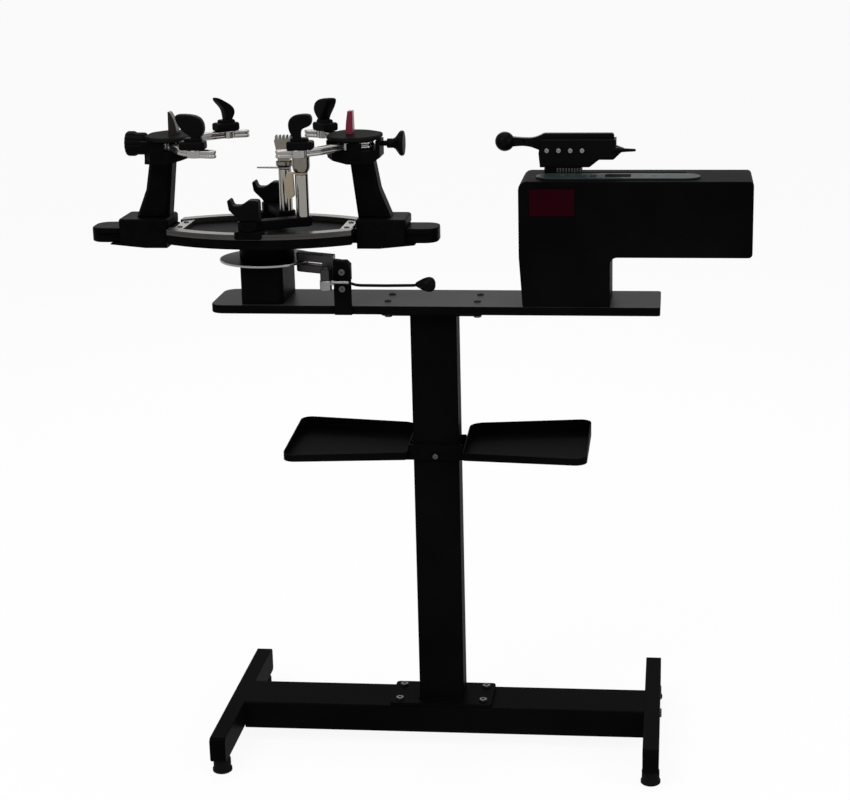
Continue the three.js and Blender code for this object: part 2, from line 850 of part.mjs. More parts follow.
function headCasting() {
  const sideView = outlineOf([
    [headNose - cutOverrun, headCastingTop],
    [headNose + cutOverrun, headCastingBottom + headSlopeRise],
    [headSlopeInner, headCastingBottom],
    [postOuterTop, headCastingBottom],
    [headOuter + cutOverrun, headCastingBottom + headSlopeRise],
    [headOuter + cutOverrun, headCastingTop],
  ]);
  const floor = slab(headPlan(), headCastingBottom, headCastingTop).intersect(
    barY(sideView, -headHalfWidth, headHalfWidth));
  const rise = [headCastingTop - cutOverrun, headCoverBottom];
  const web = block(headNose, headNose + headWebLength, -headWebWidth / 2, headWebWidth / 2, ...rise);
  const rear = block(headOuter - headRearWall, headOuter, -headOuterWidth / 2, headOuterWidth / 2, ...rise);
  const walls = [-1, 1].map((side) => {
    const faces = [side * headHalfWidth, side * (headHalfWidth - headSideWall)].sort((a, b) => a - b);
    return block(headSideWallInner, headSideWallInner + headSideWallLength, ...faces, ...rise);
  });
  const pivots = [-1, 1].map((side) => pinZ(armPivotU, side * armPivotV, armPivotDiameter, ...rise));
  const inPlan = slab(headPlan(), headCastingBottom, headCoverBottom);
  return join(floor, join(web, rear, ...walls).intersect(inPlan), ...pivots);
}

function tower() {
  const footLow = tableTop + touchGap;
  const foot = slab(
    rectangle(0, towerFootLength, -towerFootWidth / 2, towerFootWidth / 2, adaptorBaseRounding),
    footLow, towerFootTop, towerFootEdge);
  const skirtFace = turntableWidth / 2 + touchGap;
  const skirts = [-1, 1].map((side) => {
    const faces = [side * skirtFace, side * towerFootWidth / 2].sort((a, b) => a - b);
    return block(
      towerFootEdge, towerFootLength - towerFootEdge, ...faces,
      tableBottom - touchGap - clampPlateTipThickness, footLow + towerFootEdge);
  });
  const post = barY(outlineOf([
    [towerFootEdge, towerFootTop - towerFootEdge],
    [postOuterFoot, towerFootTop - towerFootEdge],
    [(postOuterFoot + postOuterTop) / 2 - postEdge, (towerFootTop + headCastingBottom) / 2],
    [postOuterTop, headCastingBottom + towerFootEdge],
    [postInnerTop, headCastingBottom + towerFootEdge],
  ]), -postDepth / 2, postDepth / 2, postEdge);
  const knobHole = pinX(
    0, (headCastingTop + headCoverBottom) / 2, knobShaftDiameter + 2 * touchGap,
    headOuter - headRearWall - cutOverrun, headOuter + cutOverrun);
  return cut(join(foot, ...skirts, towerClampPlate(), post, headCasting()), knobHole);
}

function towerClampPlate() {
  const high = tableBottom - touchGap;
  const low = high - clampPlateThickness;
  const flatEnd = clampPlateLength * clampPlateFlatShare;
  const plate = barY(outlineOf([
    [towerFootEdge, low],
    [flatEnd, low],
    [clampPlateLength, high - clampPlateTipThickness],
    [clampPlateLength, high],
    [towerFootEdge, high],
  ]), -towerFootWidth / 2, towerFootWidth / 2);
  return join(plate, pinZ(flatEnd / 2, 0, clampPlateBoltDiameter, low - screwHeadEdge, high));
}

function headCover() {
  return slab(headPlan(), headCoverBottom, headCoverTop, headCoverEdge);
}

function centreSupport() {
  const outer = centreSupportFoot + centreSupportLength;
  return barY(outlineOf([
    [centreSupportFoot, headCoverTop],
    [outer, headCoverTop],
    [outer, headCoverTop + centreSupportHeight, centreSupportTop / 3],
    [outer - centreSupportTop, headCoverTop + centreSupportHeight, centreSupportTop / 3],
  ]), -centreSupportDepth / 2, centreSupportDepth / 2, centreSupportEdge);
}

function knob() {
  const inner = headOuter + touchGap;
  const shaftStart = headOuter - headRearWall - knobShaftInset;
  const tip = inner + knobLength;
  const neck = inner + knobLength * knobNeckShare;
  const level = (headCastingTop + headCoverBottom) / 2;
  return turnedX(0, level, [
    [0, shaftStart],
    [knobShaftDiameter / 2, shaftStart],
    [knobShaftDiameter / 2, inner],
    [knobCollarDiameter / 2, inner],
    [knobCollarDiameter / 2, neck],
    [(knobCollarDiameter + knobFlangeDiameter) / 4, tip - 2 * knobFlangeThickness],
    [knobFlangeDiameter / 2, tip - knobFlangeThickness],
    [knobFlangeDiameter / 2 - screwHeadEdge, tip],
    [0, tip],
  ], 2 * circleSteps);
}

// A bent chrome arm with an eye at its pivot, one for its adaptor and a slot at its end
function swingArm(side) {
  const through = [armBottom - cutOverrun, armTop + cutOverrun];
  const between = (from, to, width, low, high) =>
    link(from[0], side * from[1], to[0], side * to[1], width, low, high);
  const rear = [headOuter - headRearWall - armRearInset, armRearV];
  const pivot = [armPivotU, armPivotV];
  const elbow = [armElbowU, armElbowV];
  const tip = [armTipU, armTipV];
  const end = [armEndU, armEndV];
  const body = join(
    between(rear, pivot, armWidth, armBottom, armTop),
    between(pivot, elbow, armWidth, armBottom, armTop),
    between(elbow, tip, armWidth, armBottom, armTop),
    between(tip, end, armWidth, armBottom, armTop),
    pinZ(armTipU, side * armTipV, armEyeDiameter, armBottom, armTop));
  const slotStart = [armTipU - armEyeDiameter / 2, armTipV + (armEndV - armTipV) / 2];
  return cut(
    body,
    pinZ(armPivotU, side * armPivotV, armPivotDiameter + 2 * touchGap, ...through),
    pinZ(armTipU, side * armTipV, armTipPinDiameter + 2 * touchGap, ...through),
    between(slotStart, end, armSlotWidth, ...through));
}

// An adaptor stands on the arm's eye; its hook leans over towards +X
function adaptor() {
  const low = armTop + touchGap;
  const baseTop = low + adaptorBaseHeight;
  const middle = adaptorBaseForward;
  const base = slab(
    rectangle(
      middle - adaptorBaseLength / 2, middle + adaptorBaseLength / 2,
      -adaptorBaseWidth / 2, adaptorBaseWidth / 2, adaptorBaseRounding),
    low, baseTop, adaptorBaseEdge);
  const stem = adaptorStemWidth / 2;
  const neck = adaptorNeckWidth / 2;
  const hookTop = baseTop + adaptorHookHeight;
  const hook = barY(outlineOf([
    [-stem, baseTop - adaptorBaseEdge],
    [stem, baseTop - adaptorBaseEdge],
    [neck, baseTop + adaptorNeckRise],
    [stem, baseTop + adaptorStemHeight, adaptorHookRounding],
    [adaptorHookReach, hookTop - adaptorHookLip, adaptorHookRounding],
    [adaptorHookReach - adaptorHookRounding, hookTop, adaptorHookRounding],
    [stem, hookTop - adaptorHookRounding / 2, adaptorHookRounding],
    [-stem, baseTop + adaptorStemHeight + adaptorHookThickness / 2, adaptorHookRounding],
    [-neck, baseTop + adaptorNeckRise],
  ]), -adaptorHookWidth / 2, adaptorHookWidth / 2, adaptorHookEdge);
  const pin = pinZ(0, 0, armTipPinDiameter, armBottom, low + adaptorBaseEdge);
  return join(base, hook, pin);
}

function addTower(side, turn) {
  const group = new THREE.Group();
  const place = centreLength / 2 + towerGap;
  group.rotation.z = turn;
  group.position.x = place * Math.cos(turn);
  table.add(group);
  add(group, `tower_${side}`, tower(), finishes.casting);
  add(group, `head_cover_${side}`, headCover(), finishes.casting);
  add(group, `centre_support_${side}`, centreSupport(), side === 'left' ? finishes.aluminium : finishes.red);
  add(group, `knob_${side}`, knob(), finishes.plastic);
  for (const end of ['front', 'back']) {
    const across = (end === 'back' ? 1 : -1) * Math.cos(turn);
    add(group, `arm_${side}_${end}`, swingArm(across), finishes.chrome);
    const holder = new THREE.Group();
    holder.position.set(armTipU, across * armTipV, 0);
    holder.rotation.z = end === 'back' ? -across * adaptorBackTurn : 0;
    group.add(holder);
    add(holder, `adaptor_${side}_${end}`, adaptor(), finishes.plastic);
  }
}

// String clamp, drawn about its base with the centre of its rail's arc towards +Y

function slider() {
  const low = railTop - sliderGrip;
  const high = railTop + sliderTopThickness;
  const body = slab(
    rectangle(-sliderLength / 2, sliderLength / 2, -sliderWidth / 2, sliderWidth / 2, 2 * sliderEdge),
    low, high, sliderEdge);
  const channelTop = railTop + touchGap;
  const channel = cut(
    pinZ(0, railCentreRadius, 2 * (railCurveRadius + touchGap), low - cutOverrun, channelTop, 0, discSteps),
    pinZ(
      0, railCentreRadius, 2 * (railCurveRadius - railWidth - touchGap),
      low - 2 * cutOverrun, channelTop + cutOverrun, 0, discSteps));
  const lockSeat = swingArmTop + touchGap;
  const spindle = pinZ(0, 0, clampSpindleDiameter, high - sliderEdge, lockSeat, 0, turningSteps / 2);
  return join(cut(body, channel), spindle);
}

// The lock body has a saddle and a horn that a thumb pushes
function lock() {
  const low = swingArmTop + touchGap;
  const high = low + lockHeight;
  return join(barY(outlineOf([
    [-hornFoot, low],
    [lockReach, low],
    [lockReach, high, lockRounding],
    [lockRounding / 2, high, 2 * lockRounding],
    [-hornFoot + lockRounding / 2, low + lockSaddleHeight, 2 * lockRounding],
    [-hornReach + 2 * lockRounding, low + lockSaddleHeight, lockRounding],
    [-hornReach + lockRounding, low + hornHeight, lockRounding / 2],
    [-hornReach, low + hornHeight - lockRounding, lockRounding / 2],
    [-hornReach + lockRounding / 2, low + hornHeight / 2, lockRounding],
    [-hornFoot - lockRounding / 2, low + lockRounding, lockRounding / 2],
  ]), -lockWidth / 2, lockWidth / 2, lockEdge),
  pinY(lockReach / 2, low + lockScrewDiameter, lockScrewDiameter, -lockWidth / 2 - screwHeadEdge, 0));
}

function clampArm(nutHeightHere) {
  const through = [swingArmBottom - cutOverrun, swingArmTop + cutOverrun];
  return cut(
    join(
      pinZ(0, 0, swingArmHubDiameter, swingArmBottom, swingArmTop, swingArmEdge),
      link(0, 0, swingArmLength, 0, swingArmWidth, swingArmBottom, swingArmTop, swingArmEdge),
      pinZ(swingArmLength, 0, swingArmEyeDiameter, swingArmBottom, swingArmTop, swingArmEdge),
      clampPost(nutHeightHere).translate([swingArmLength, 0, 0])),
    pinZ(0, 0, clampSpindleDiameter + 2 * touchGap, ...through, 0, turningSteps / 2));
}

// The post, and what turns on it, are drawn about the post's own axis
function clampPost(nutHeightHere) {
  const top = swingArmTop + clampPostHeight;
  const spigotTop = nutBottom + nutHeightHere + jawFootHeight / 2;
  return join(
    pinZ(0, 0, clampPostDiameter, swingArmTop - swingArmEdge, top, screwHeadEdge, wideCircleSteps / 3),
    pinZ(0, 0, clampSpigotDiameter, top - cutOverrun, spigotTop));
}

function taperedNut(nutHeightHere) {
  const top = nutBottom + nutHeightHere;
  return turnedZ(0, 0, [
    [0, nutBottom],
    [clampPostDiameter / 2, nutBottom],
    [nutDiameter / 2, nutBottom + nutHeightHere * nutTaperShare],
    [nutDiameter / 2, top],
    [0, top],
  ], 2 * circleSteps);
}

// A split jaw with a comb of teeth that reach between the strings
function jaw(nutHeightHere, heightHere) {
  const low = nutBottom + nutHeightHere;
  const high = low + heightHere;
  const body = barY(outlineOf([
    [-jawFootWidth / 2, low - screwHeadEdge],
    [jawFootWidth / 2, low - screwHeadEdge],
    [jawFootWidth / 2, low + jawFootHeight],
    [jawWidth / 2, high],
    [-jawWidth / 2, high],
    [-jawFootWidth / 2, low + jawFootHeight],
  ]), -jawDepth / 2, jawDepth / 2);
  const pitch = jawWidth / jawTeeth;
  const half = pitch * jawToothShare / 2;
  const tip = half * jawToothTipShare;
  const teeth = [];
  for (let i = 0; i < jawTeeth; i += 1) {
    const x = (i - (jawTeeth - 1) / 2) * pitch;
    teeth.push(barY(outlineOf([
      [x - half, high - screwHeadEdge],
      [x + half, high - screwHeadEdge],
      [x + half, high],
      [x + tip, high + jawToothHeight],
      [x - tip, high + jawToothHeight],
      [x - half, high],
    ]), -jawDepth / 2, jawDepth / 2));
  }
  const slit = block(
    -jawWidth, jawWidth, -jawSlit / 2, jawSlit / 2, low + jawFootHeight, high + jawToothHeight + cutOverrun);
  const hole = pinZ(
    0, 0, clampSpigotDiameter + 2 * touchGap, nutBottom - cutOverrun, low + jawFootHeight / 2 + touchGap);
  return cut(join(taperedNut(nutHeightHere), body, ...teeth), slit, hole);
}

function jawRing() {
  return cut(
    pinZ(0, 0, clampPostDiameter, jawLeverBottom, jawLeverBottom + jawLeverThickness),
    pinZ(
      0, 0, clampSpigotDiameter + 2 * touchGap,
      jawLeverBottom - cutOverrun, jawLeverBottom + jawLeverThickness + cutOverrun));
}

// A thin blade lever
function jawBlade() {
  const blade = slab(outlineOf([
    [-clampSpigotDiameter, -jawBladeWidth / 2],
    [-clampSpigotDiameter, jawBladeWidth / 2],
    [-jawBladeReach, jawBladeWidth / 6, jawBladeWidth / 8],
    [-jawBladeReach, -jawBladeWidth / 6, jawBladeWidth / 8],
  ]), jawLeverBottom, jawLeverBottom + jawLeverThickness);
  return join(jawRing(), blade);
}

// A lever whose paddle hangs down beside the post
function jawPaddle() {
  const top = jawLeverBottom + jawLeverThickness;
  const foot = top - jawPaddleDrop;
  const paddle = barY(outlineOf([
    [-clampSpigotDiameter, jawLeverBottom],
    [-clampSpigotDiameter, top],
    [-jawPaddleReach + jawPaddleThickness, top, jawPaddleThickness / 2],
    [-jawPaddleReach, top - jawPaddleDrop / 2, jawPaddleReach],
    [-jawPaddleReach + jawPaddleThickness, foot, jawPaddleThickness / 3],
    [-jawPaddleReach + 3 * jawPaddleThickness, foot + jawPaddleThickness, jawPaddleThickness / 2],
    [-clampPostDiameter / 2 - jawPaddleThickness / 2, jawLeverBottom],
  ]), -jawPaddleWidth / 2, jawPaddleWidth / 2);
  return join(jawRing(), paddle);
}

function addClamp(place, side, armTurn, nutHeightHere, jawHeightHere, lever, leverMaterial) {
  const unit = new THREE.Group();
  unit.position.set(clampPlace, side * clampRailDrop, 0);
  table.add(unit);
  const base = new THREE.Group();
  base.rotation.z = side < 0 ? clampRailTurn : Math.PI - clampRailTurn;
  unit.add(base);
  add(base, `clamp_slider_${place}`, slider(), finishes.casting);
  add(unit, `clamp_lock_${place}`, lock(), finishes.plastic);
  const swing = new THREE.Group();
  swing.rotation.z = armTurn;
  unit.add(swing);
  add(swing, `clamp_arm_${place}`, clampArm(nutHeightHere), finishes.casting);
  const post = new THREE.Group();
  post.position.set(swingArmLength * Math.cos(armTurn), swingArmLength * Math.sin(armTurn), 0);
  unit.add(post);
  add(post, `clamp_jaw_${place}`, jaw(nutHeightHere, jawHeightHere), finishes.aluminium);
  add(post, `clamp_lever_${place}`, lever(), leverMaterial);
}

// Turntable brake

function brakeBracket() {
  const back = -beamDepth / 2 - touchGap;
  const face = back - brakeBracketThickness;
  const middle = (brakeBracketLeft + brakeBracketRight) / 2;
  const plate = barY(outlineOf([
    [brakeBracketLeft, beamBottom],
    [brakeBracketRight, beamBottom],
    [brakeBracketRight, beamBottom + brakeBracketHeight, brakeBracketRounding],
    [brakeBracketLeft, beamBottom + brakeBracketHeight],
  ]), face, back, screwHeadEdge);
  const bolts = [brakeBoltLowLevel, brakeBoltHighLevel].map((level) =>
    pinY(middle, beamBottom + level, brakeBoltDiameter, face - brakeBoltRise, back - screwHeadEdge));
  return join(plate, ...bolts);
}

// The caliper: a block behind the bracket, one jaw over the disc, one under it and a lug for the lever
function caliper() {
  const front = -beamDepth / 2 + touchGap;
  const back = front + caliperDepth;
  const upperLow = discTop + caliperGap;
  const upperHigh = upperLow + caliperUpperThickness;
  const lowerHigh = discBottom - caliperGap;
  const lowerLow = lowerHigh - caliperLowerThickness;
  const start = (caliperLeft + brakeBracketRight) / 2;
  const middle = front + caliperJawWidth / 2;
  const body = slab(
    rectangle(caliperLeft, brakeBracketRight, front, back, beamEdge), lowerLow - leverLugThickness / 2, upperHigh);
  const [upper, lower] = [[upperLow, upperHigh], [lowerLow, lowerHigh]].map((levels) =>
    link(start, middle, caliperJawX, caliperJawY, caliperJawWidth, ...levels, screwHeadEdge));
  const lugHigh = lowerHigh;
  const lug = link(
    leverPivotX, leverPivotY, leverPivotX, middle, leverLugWidth, lugHigh - leverLugThickness, lugHigh);
  return join(body, upper, lower, lug, brakePin());
}

function leverLevel() {
  return discBottom - caliperGap - leverLugThickness - touchGap;
}

function brakePin() {
  const high = discBottom - caliperGap;
  const headTopLevel = high + leverPinHeadHeight;
  return join(
    pinZ(leverPivotX, leverPivotY, leverPinDiameter, leverLevel() - leverHubHeight, high),
    pinZ(leverPivotX, leverPivotY, leverPinHeadDiameter, high - screwHeadEdge, headTopLevel, screwHeadEdge));
}

function brakeLever() {
  const high = leverLevel();
  const low = high - leverHubHeight;
  const barHigh = low + leverBarRise + leverBarThickness;
  const hubPiece = pinZ(leverPivotX, leverPivotY, leverHubDiameter, low, high, screwHeadEdge);
  const tip = leverPivotX + leverLength;
  const bar = link(leverPivotX, leverPivotY, tip, leverPivotY, leverBarWidth, low + leverBarRise, barHigh);
  return cut(
    join(hubPiece, bar, brakeKnob()),
    pinZ(leverPivotX, leverPivotY, leverPinDiameter + 2 * touchGap, low - cutOverrun, high + cutOverrun));
}

function brakeKnob() {
  const low = leverLevel() - leverHubHeight + leverBarRise;
  const level = low + leverBarThickness / 2;
  const middle = leverPivotX + leverLength + leverKnobLength / 3;
  const profile = [];
  for (let i = 0; i <= ballSteps; i += 1) {
    const angle = (Math.PI * i) / ballSteps;
    profile.push([Math.sin(angle) * leverKnobDiameter / 2, middle - Math.cos(angle) * leverKnobLength / 2]);
  }
  return turnedX(leverPivotY, level, profile, wideCircleSteps / 2);
}

function addBrake() {
  add(machine, 'brake_bracket', brakeBracket(), finishes.casting);
  add(machine, 'brake_caliper', caliper(), finishes.aluminium);
  add(machine, 'brake_lever', brakeLever(), finishes.chrome);
}

// Tension head

function headOutline(inset) {
  const rounding = (radius) => Math.max(radius - inset, screwHeadEdge);
  return outlineOf([
    [headNeckLeft + inset, beamTop + inset],
    [headNeckRight - inset, beamTop + inset],
    [headNeckRight - inset, headBoxBottom + inset, headInnerFillet + inset],
    [headRight - inset, headBoxBottom + inset, rounding(headEndRounding)],
    [headRight - inset, headTop - inset, rounding(headEndRounding)],
    [headLeft + inset, headTop - inset, rounding(headTopRounding)],
    [headLeft + inset, headBoxBottom + inset],
  ]);
}

function headHousing() {
  const front = -headDepth / 2;
  const back = headDepth / 2;
  const shell = barY(headOutline(0), front, back, 0, 2 * cornerSteps);
  const cavity = barY(headOutline(headWall), front + headWall, back + cutOverrun, 0, 2 * cornerSteps);
  const slotFront = gripperPlaceY - slotWidth / 2;
  const slot = slab(
    rectangle(slotLeft, slotLeft + slotLength, slotFront, slotFront + slotWidth, slotWidth / 3),
    headTop - headWall - cutOverrun, headTop + cutOverrun);
  const windowSeat = block(
    windowLeft - touchGap, windowLeft + windowWidth + touchGap, front - cutOverrun, front + windowThickness,
    windowBottom - touchGap, windowBottom + windowHeight + touchGap);
  return cut(shell, cavity, slot, windowSeat);
}

function switchCentre() {
  return inletBottom + inletHeight / 2;
}

// The room that the power module takes in the back cover
function moduleOpening(margin, ...span) {
  return block(
    inletLeft - margin, switchLeft + switchWidth + inletWall + touchGap + margin, ...span,
    inletBottom - margin, inletBottom + inletHeight + margin);
}

function backCover() {
  const back = headDepth / 2;
  const plate = barY(headOutline(headWall + touchGap), back - backCoverThickness, back, 0, 2 * cornerSteps);
  return cut(plate, moduleOpening(touchGap, back - backCoverThickness - cutOverrun, back + cutOverrun));
}

// The power module: a socket with three pins beside the room for the rocker; its rim lies on the back cover
function powerInlet() {
  const back = headDepth / 2;
  const inner = back - inletDepth;
  const rim = moduleOpening(inletRim, back + touchGap, back + touchGap + inletRim);
  const body = moduleOpening(0, inner, back + inletRim);
  const mouth = barY(
    rectangle(
      inletLeft + inletWall, inletLeft + inletWidth - inletWall,
      inletBottom + inletWall, inletBottom + inletHeight - inletWall, inletWall),
    inner + inletWall, back + inletRim + cutOverrun);
  const roomHeight = switchHeight + switchGap;
  const rockerRoom = block(
    switchLeft - touchGap, switchLeft + switchWidth + touchGap,
    inner + inletWall, back + inletRim + cutOverrun,
    switchCentre() - roomHeight / 2, switchCentre() + roomHeight / 2);
  const pins = [-1, 0, 1].map((step) => {
    const x = inletLeft + inletWidth / 2 + step * inletPinPitch;
    const z = switchCentre() + (step === 0 ? inletPinWidth : -inletPinWidth / 2);
    return block(
      x - inletPinWidth / 3, x + inletPinWidth / 3, inner + screwHeadEdge, inner + inletWall + inletPinLength,
      z - inletPinWidth / 2, z + inletPinWidth / 2);
  });
  return join(cut(join(rim, body), mouth, rockerRoom), ...pins);
}

// The rocker swings about X in its room beside the socket
function powerSwitch() {
  const back = headDepth / 2;
  const high = switchHeight / 2;
  return barX(outlineOf([
    [back - switchDepth, switchCentre() - high / 2],
    [back, switchCentre() - high + screwHeadEdge],
    [back + switchRise, switchCentre() - high + screwHeadEdge],
    [back + switchRise / 2, switchCentre()],
    [back + switchRise, switchCentre() + high - screwHeadEdge],
    [back, switchCentre() + high - screwHeadEdge],
    [back - switchDepth, switchCentre() + high / 2],
  ]), switchLeft, switchLeft + switchWidth);
}

function buttonPlaces() {
  return Array.from({ length: buttons }, (_, i) => buttonPlace + i * buttonPitch);
}

function panel() {
  const middle = panelFront + panelWidth / 2;
  const high = headTop + panelThickness;
  const rounding = panelWidth / 2 - panelEdge;
  const plate = slab(
    rectangle(panelLeft, panelLeft + panelLength, panelFront, panelFront + panelWidth, rounding),
    headTop, high, panelEdge, 2 * cornerSteps);
  const through = [headTop - cutOverrun, high + cutOverrun];
  const holes = buttonPlaces().map((x) =>
    pinZ(x, middle, buttonDiameter + 2 * buttonGap, ...through));
  const displayFront = middle - displayWidth / 2;
  const display = slab(
    rectangle(
      displayLeft, displayLeft + displayLength, displayFront, displayFront + displayWidth, flangeRounding / 2),
    headTop, headTop + displayHeight, buttonEdge);
  return cut(join(plate, display), ...holes);
}

function button(x) {
  const low = headTop + buttonFloat;
  return pinZ(x, panelFront + panelWidth / 2, buttonDiameter, low, low + buttonHeight);
}

function indicatorWindow() {
  const front = -headDepth / 2;
  return block(
    windowLeft, windowLeft + windowWidth, front, front + windowThickness - touchGap,
    windowBottom, windowBottom + windowHeight);
}

// Inside the head: lead screw between two end blocks, two guide rods, motor and carriage
function endBlock(left, foot) {
  const low = screwAxisLevel - endBlockHeight / 2;
  const y0 = gripperPlaceY - endBlockWidth / 2;
  const y1 = Math.min(gripperPlaceY + endBlockWidth / 2, headDepth / 2 - backCoverThickness - touchGap);
  const body = block(left, left + endBlockThickness, y0, y1, foot, low + endBlockHeight);
  const bore = pinX(
    gripperPlaceY, screwAxisLevel, leadScrewDiameter + 2 * touchGap, left - cutOverrun,
    left + endBlockThickness + cutOverrun, 0, turningSteps / 2);
  return cut(body, bore);
}

// Two end blocks joined by the two rods that the carriage runs on
function guideFrame() {
  const left = headLeft + headWall + touchGap;
  const rods = [-1, 1].map((side) => pinX(
    gripperPlaceY + side * guideRodSide, screwAxisLevel, guideRodDiameter,
    left + endBlockThickness / 2, endBlockRight + endBlockThickness / 2));
  return join(
    endBlock(left, screwAxisLevel - endBlockHeight / 2),
    endBlock(endBlockRight, headBoxBottom + headWall + touchGap), ...rods);
}

function leadScrew() {
  const left = headLeft + headWall + 2 * touchGap;
  const right = endBlockRight + endBlockThickness;
  return pinX(gripperPlaceY, screwAxisLevel, leadScrewDiameter, left, right, 0, turningSteps / 2);
}

function motor() {
  const left = endBlockRight + endBlockThickness + touchGap;
  const right = Math.min(left + motorLength, headRight - headWall - touchGap);
  return pinX(gripperPlaceY, screwAxisLevel, motorDiameter, left, right);
}

function carriage() {
  const low = screwAxisLevel - endBlockHeight / 2;
  const high = screwAxisLevel + endBlockHeight / 2;
  const y0 = gripperPlaceY - endBlockWidth / 2;
  const y1 = headDepth / 2 - backCoverThickness - 2 * touchGap;
  const body = block(carriageLeft, carriageLeft + carriageLength, y0, y1, low, high);
  const middle = gripperBaseLeft + gripperBaseLength / 2;
  const stem = slab(centred(stemLength, stemWidth), high - cutOverrun, headTop + gripperFloat);
  const ends = [carriageLeft - cutOverrun, carriageLeft + carriageLength + cutOverrun];
  const rodHoles = [-1, 1].map((side) =>
    pinX(gripperPlaceY + side * guideRodSide, screwAxisLevel, guideRodDiameter + 2 * touchGap, ...ends));
  const holeDiameter = leadScrewDiameter + 2 * touchGap;
  const screwHole = pinX(gripperPlaceY, screwAxisLevel, holeDiameter, ...ends, 0, turningSteps / 2);
  return cut(join(body, stem.translate([middle, gripperPlaceY, 0])), ...rodHoles, screwHole);
}

// Gripper

function gripperBase() {
  const low = headTop + gripperFloat;
  return slab(
    rectangle(
      gripperBaseLeft, gripperBaseLeft + gripperBaseLength,
      gripperPlaceY - gripperBaseWidth / 2, gripperPlaceY + gripperBaseWidth / 2, flangeRounding),
    low, gripperBaseTop + screwHeadEdge, screwHeadEdge);
}

function gripperPivot() {
  return [gripperLeverRight - gripperPivotInset, gripperBaseTop + gripperLeverTop - gripperPivotInset];
}

function gripperBody() {
  const front = gripperPlaceY - gripperWidth / 2;
  const back = gripperPlaceY + gripperWidth / 2;
  const low = gripperBaseTop;
  const body = barY(outlineOf([
    [gripperFootLeft, low],
    [gripperFootRight, low, screwHeadRise],
    [gripperStep, low + gripperStepRise, screwHeadRise],
    [gripperChin, low + gripperStepRise, screwHeadRise],
    [gripperBeak, low + gripperBeakRise],
    [gripperBeakTip, low + gripperBeakRise + cutOverrun],
    [gripperBeakTip, low + gripperCheekHeight],
    [gripperLeft + screwHeadRise, low + gripperCheekHeight],
    [gripperLeft, low + gripperCheekHeight / 2],
  ]), front, back, gripperEdge);
  const slot = block(
    gripperLeft - cutOverrun, gripperBeak + cutOverrun,
    gripperPlaceY - gripperSlot / 2, gripperPlaceY + gripperSlot / 2,
    low + gripperFloor, low + gripperCheekHeight + cutOverrun);
  const bolts = Array.from({ length: gripperBolts }, (_, i) => pinY(
    gripperBoltPlace + i * gripperBoltPitch, low + gripperBoltRiseLevel, gripperBoltDiameter,
    front - gripperBoltRise, front + gripperEdge));
  const trigger = pinX(
    gripperPlaceY - gripperSlot, low + gripperBeakRise, triggerDiameter, gripperChin, triggerTip);
  return join(cut(body, slot), gripperBase(), gripperPin(), trigger, ...bolts);
}

function gripperLever() {
  const top = gripperBaseTop + gripperLeverTop;
  const low = top - gripperLeverHeight;
  const half = gripperSlot / 2 - touchGap;
  const level = low + gripperLeverHeight / 2 - screwHeadEdge;
  const bar = barY(outlineOf([
    [gripperLeverLeft - gripperNeckLength, level - gripperNeckDiameter / 2],
    [gripperLeverLeft + 2 * gripperPivotInset, low, screwHeadRise],
    [gripperLeverRight, low, screwHeadRise],
    [gripperLeverRight, top, screwHeadRise],
    [gripperLeverLeft + gripperPivotInset / 2, top, screwHeadRise],
    [gripperLeverLeft - gripperNeckLength, level + gripperNeckDiameter / 2],
  ]), gripperPlaceY - half, gripperPlaceY + half, gripperEdge);
  const radius = gripperBallDiameter / 2;
  const profile = [];
  const neckAngle = Math.PI - Math.asin(gripperNeckDiameter / gripperBallDiameter);
  for (let i = 0; i <= ballSteps; i += 1) {
    const angle = (neckAngle * i) / ballSteps;
    profile.push([Math.sin(angle) * radius, gripperBallPlace - Math.cos(angle) * radius]);
  }
  profile.push([gripperNeckDiameter / 2, gripperLeverLeft - gripperBallDiameter]);
  profile.push([half - gripperEdge, gripperLeverLeft - screwHeadRise]);
  profile.push([half - gripperEdge, gripperLeverLeft + gripperPivotInset]);
  profile.push([0, gripperLeverLeft + gripperPivotInset]);
  const handle = turnedX(gripperPlaceY, level, profile, wideCircleSteps / 2);
  const [px, pz] = gripperPivot();
  const pinHole = pinY(
    px, pz, gripperPinDiameter + 2 * touchGap, gripperPlaceY - gripperSlot, gripperPlaceY + gripperSlot);
  return cut(join(bar, handle), pinHole);
}

function gripperPin() {
  const [px, pz] = gripperPivot();
  return pinY(
    px, pz, gripperPinDiameter, gripperPlaceY - gripperWidth / 2 - screwHeadEdge,
    gripperPlaceY + gripperWidth / 2 + screwHeadEdge);
}

function addTensionHead() {
  add(machine, 'head_housing', headHousing(), finishes.paint);
  add(machine, 'head_back_cover', backCover(), finishes.paint);
  add(machine, 'control_panel', panel(), finishes.panel);
  add(machine, 'indicator_window', indicatorWindow(), finishes.window);
  buttonPlaces().forEach((x, i) => add(machine, `button_${i + 1}`, button(x), finishes.plastic));
  add(machine, 'power_inlet', powerInlet(), finishes.plastic);
  add(machine, 'power_switch', powerSwitch(), finishes.red);
  add(machine, 'guide_frame', guideFrame(), finishes.aluminium);
  add(machine, 'lead_screw', leadScrew(), finishes.steel);
  add(machine, 'tension_motor', motor(), finishes.steel);
  add(machine, 'carriage', carriage(), finishes.aluminium);
  add(machine, 'gripper_body', gripperBody(), finishes.plastic);
  add(machine, 'gripper_lever', gripperLever(), finishes.plastic);
}

addStand();
add(machine, 'column', column(), finishes.paint);
add(machine, 'top_beam', topBeam(), finishes.beamPaint);
addTrays();
addTurntable();
addTower('right', 0);
addTower('left', Math.PI);
addClamp('front', -1, frontArmTurn, frontNutHeight, jawFrontHeight, jawPaddle, finishes.tan);
addClamp('back', 1, backArmTurn, backNutHeight, jawHeight, jawBlade, finishes.aluminium);
addBrake();
addTensionHead();

export default machine;
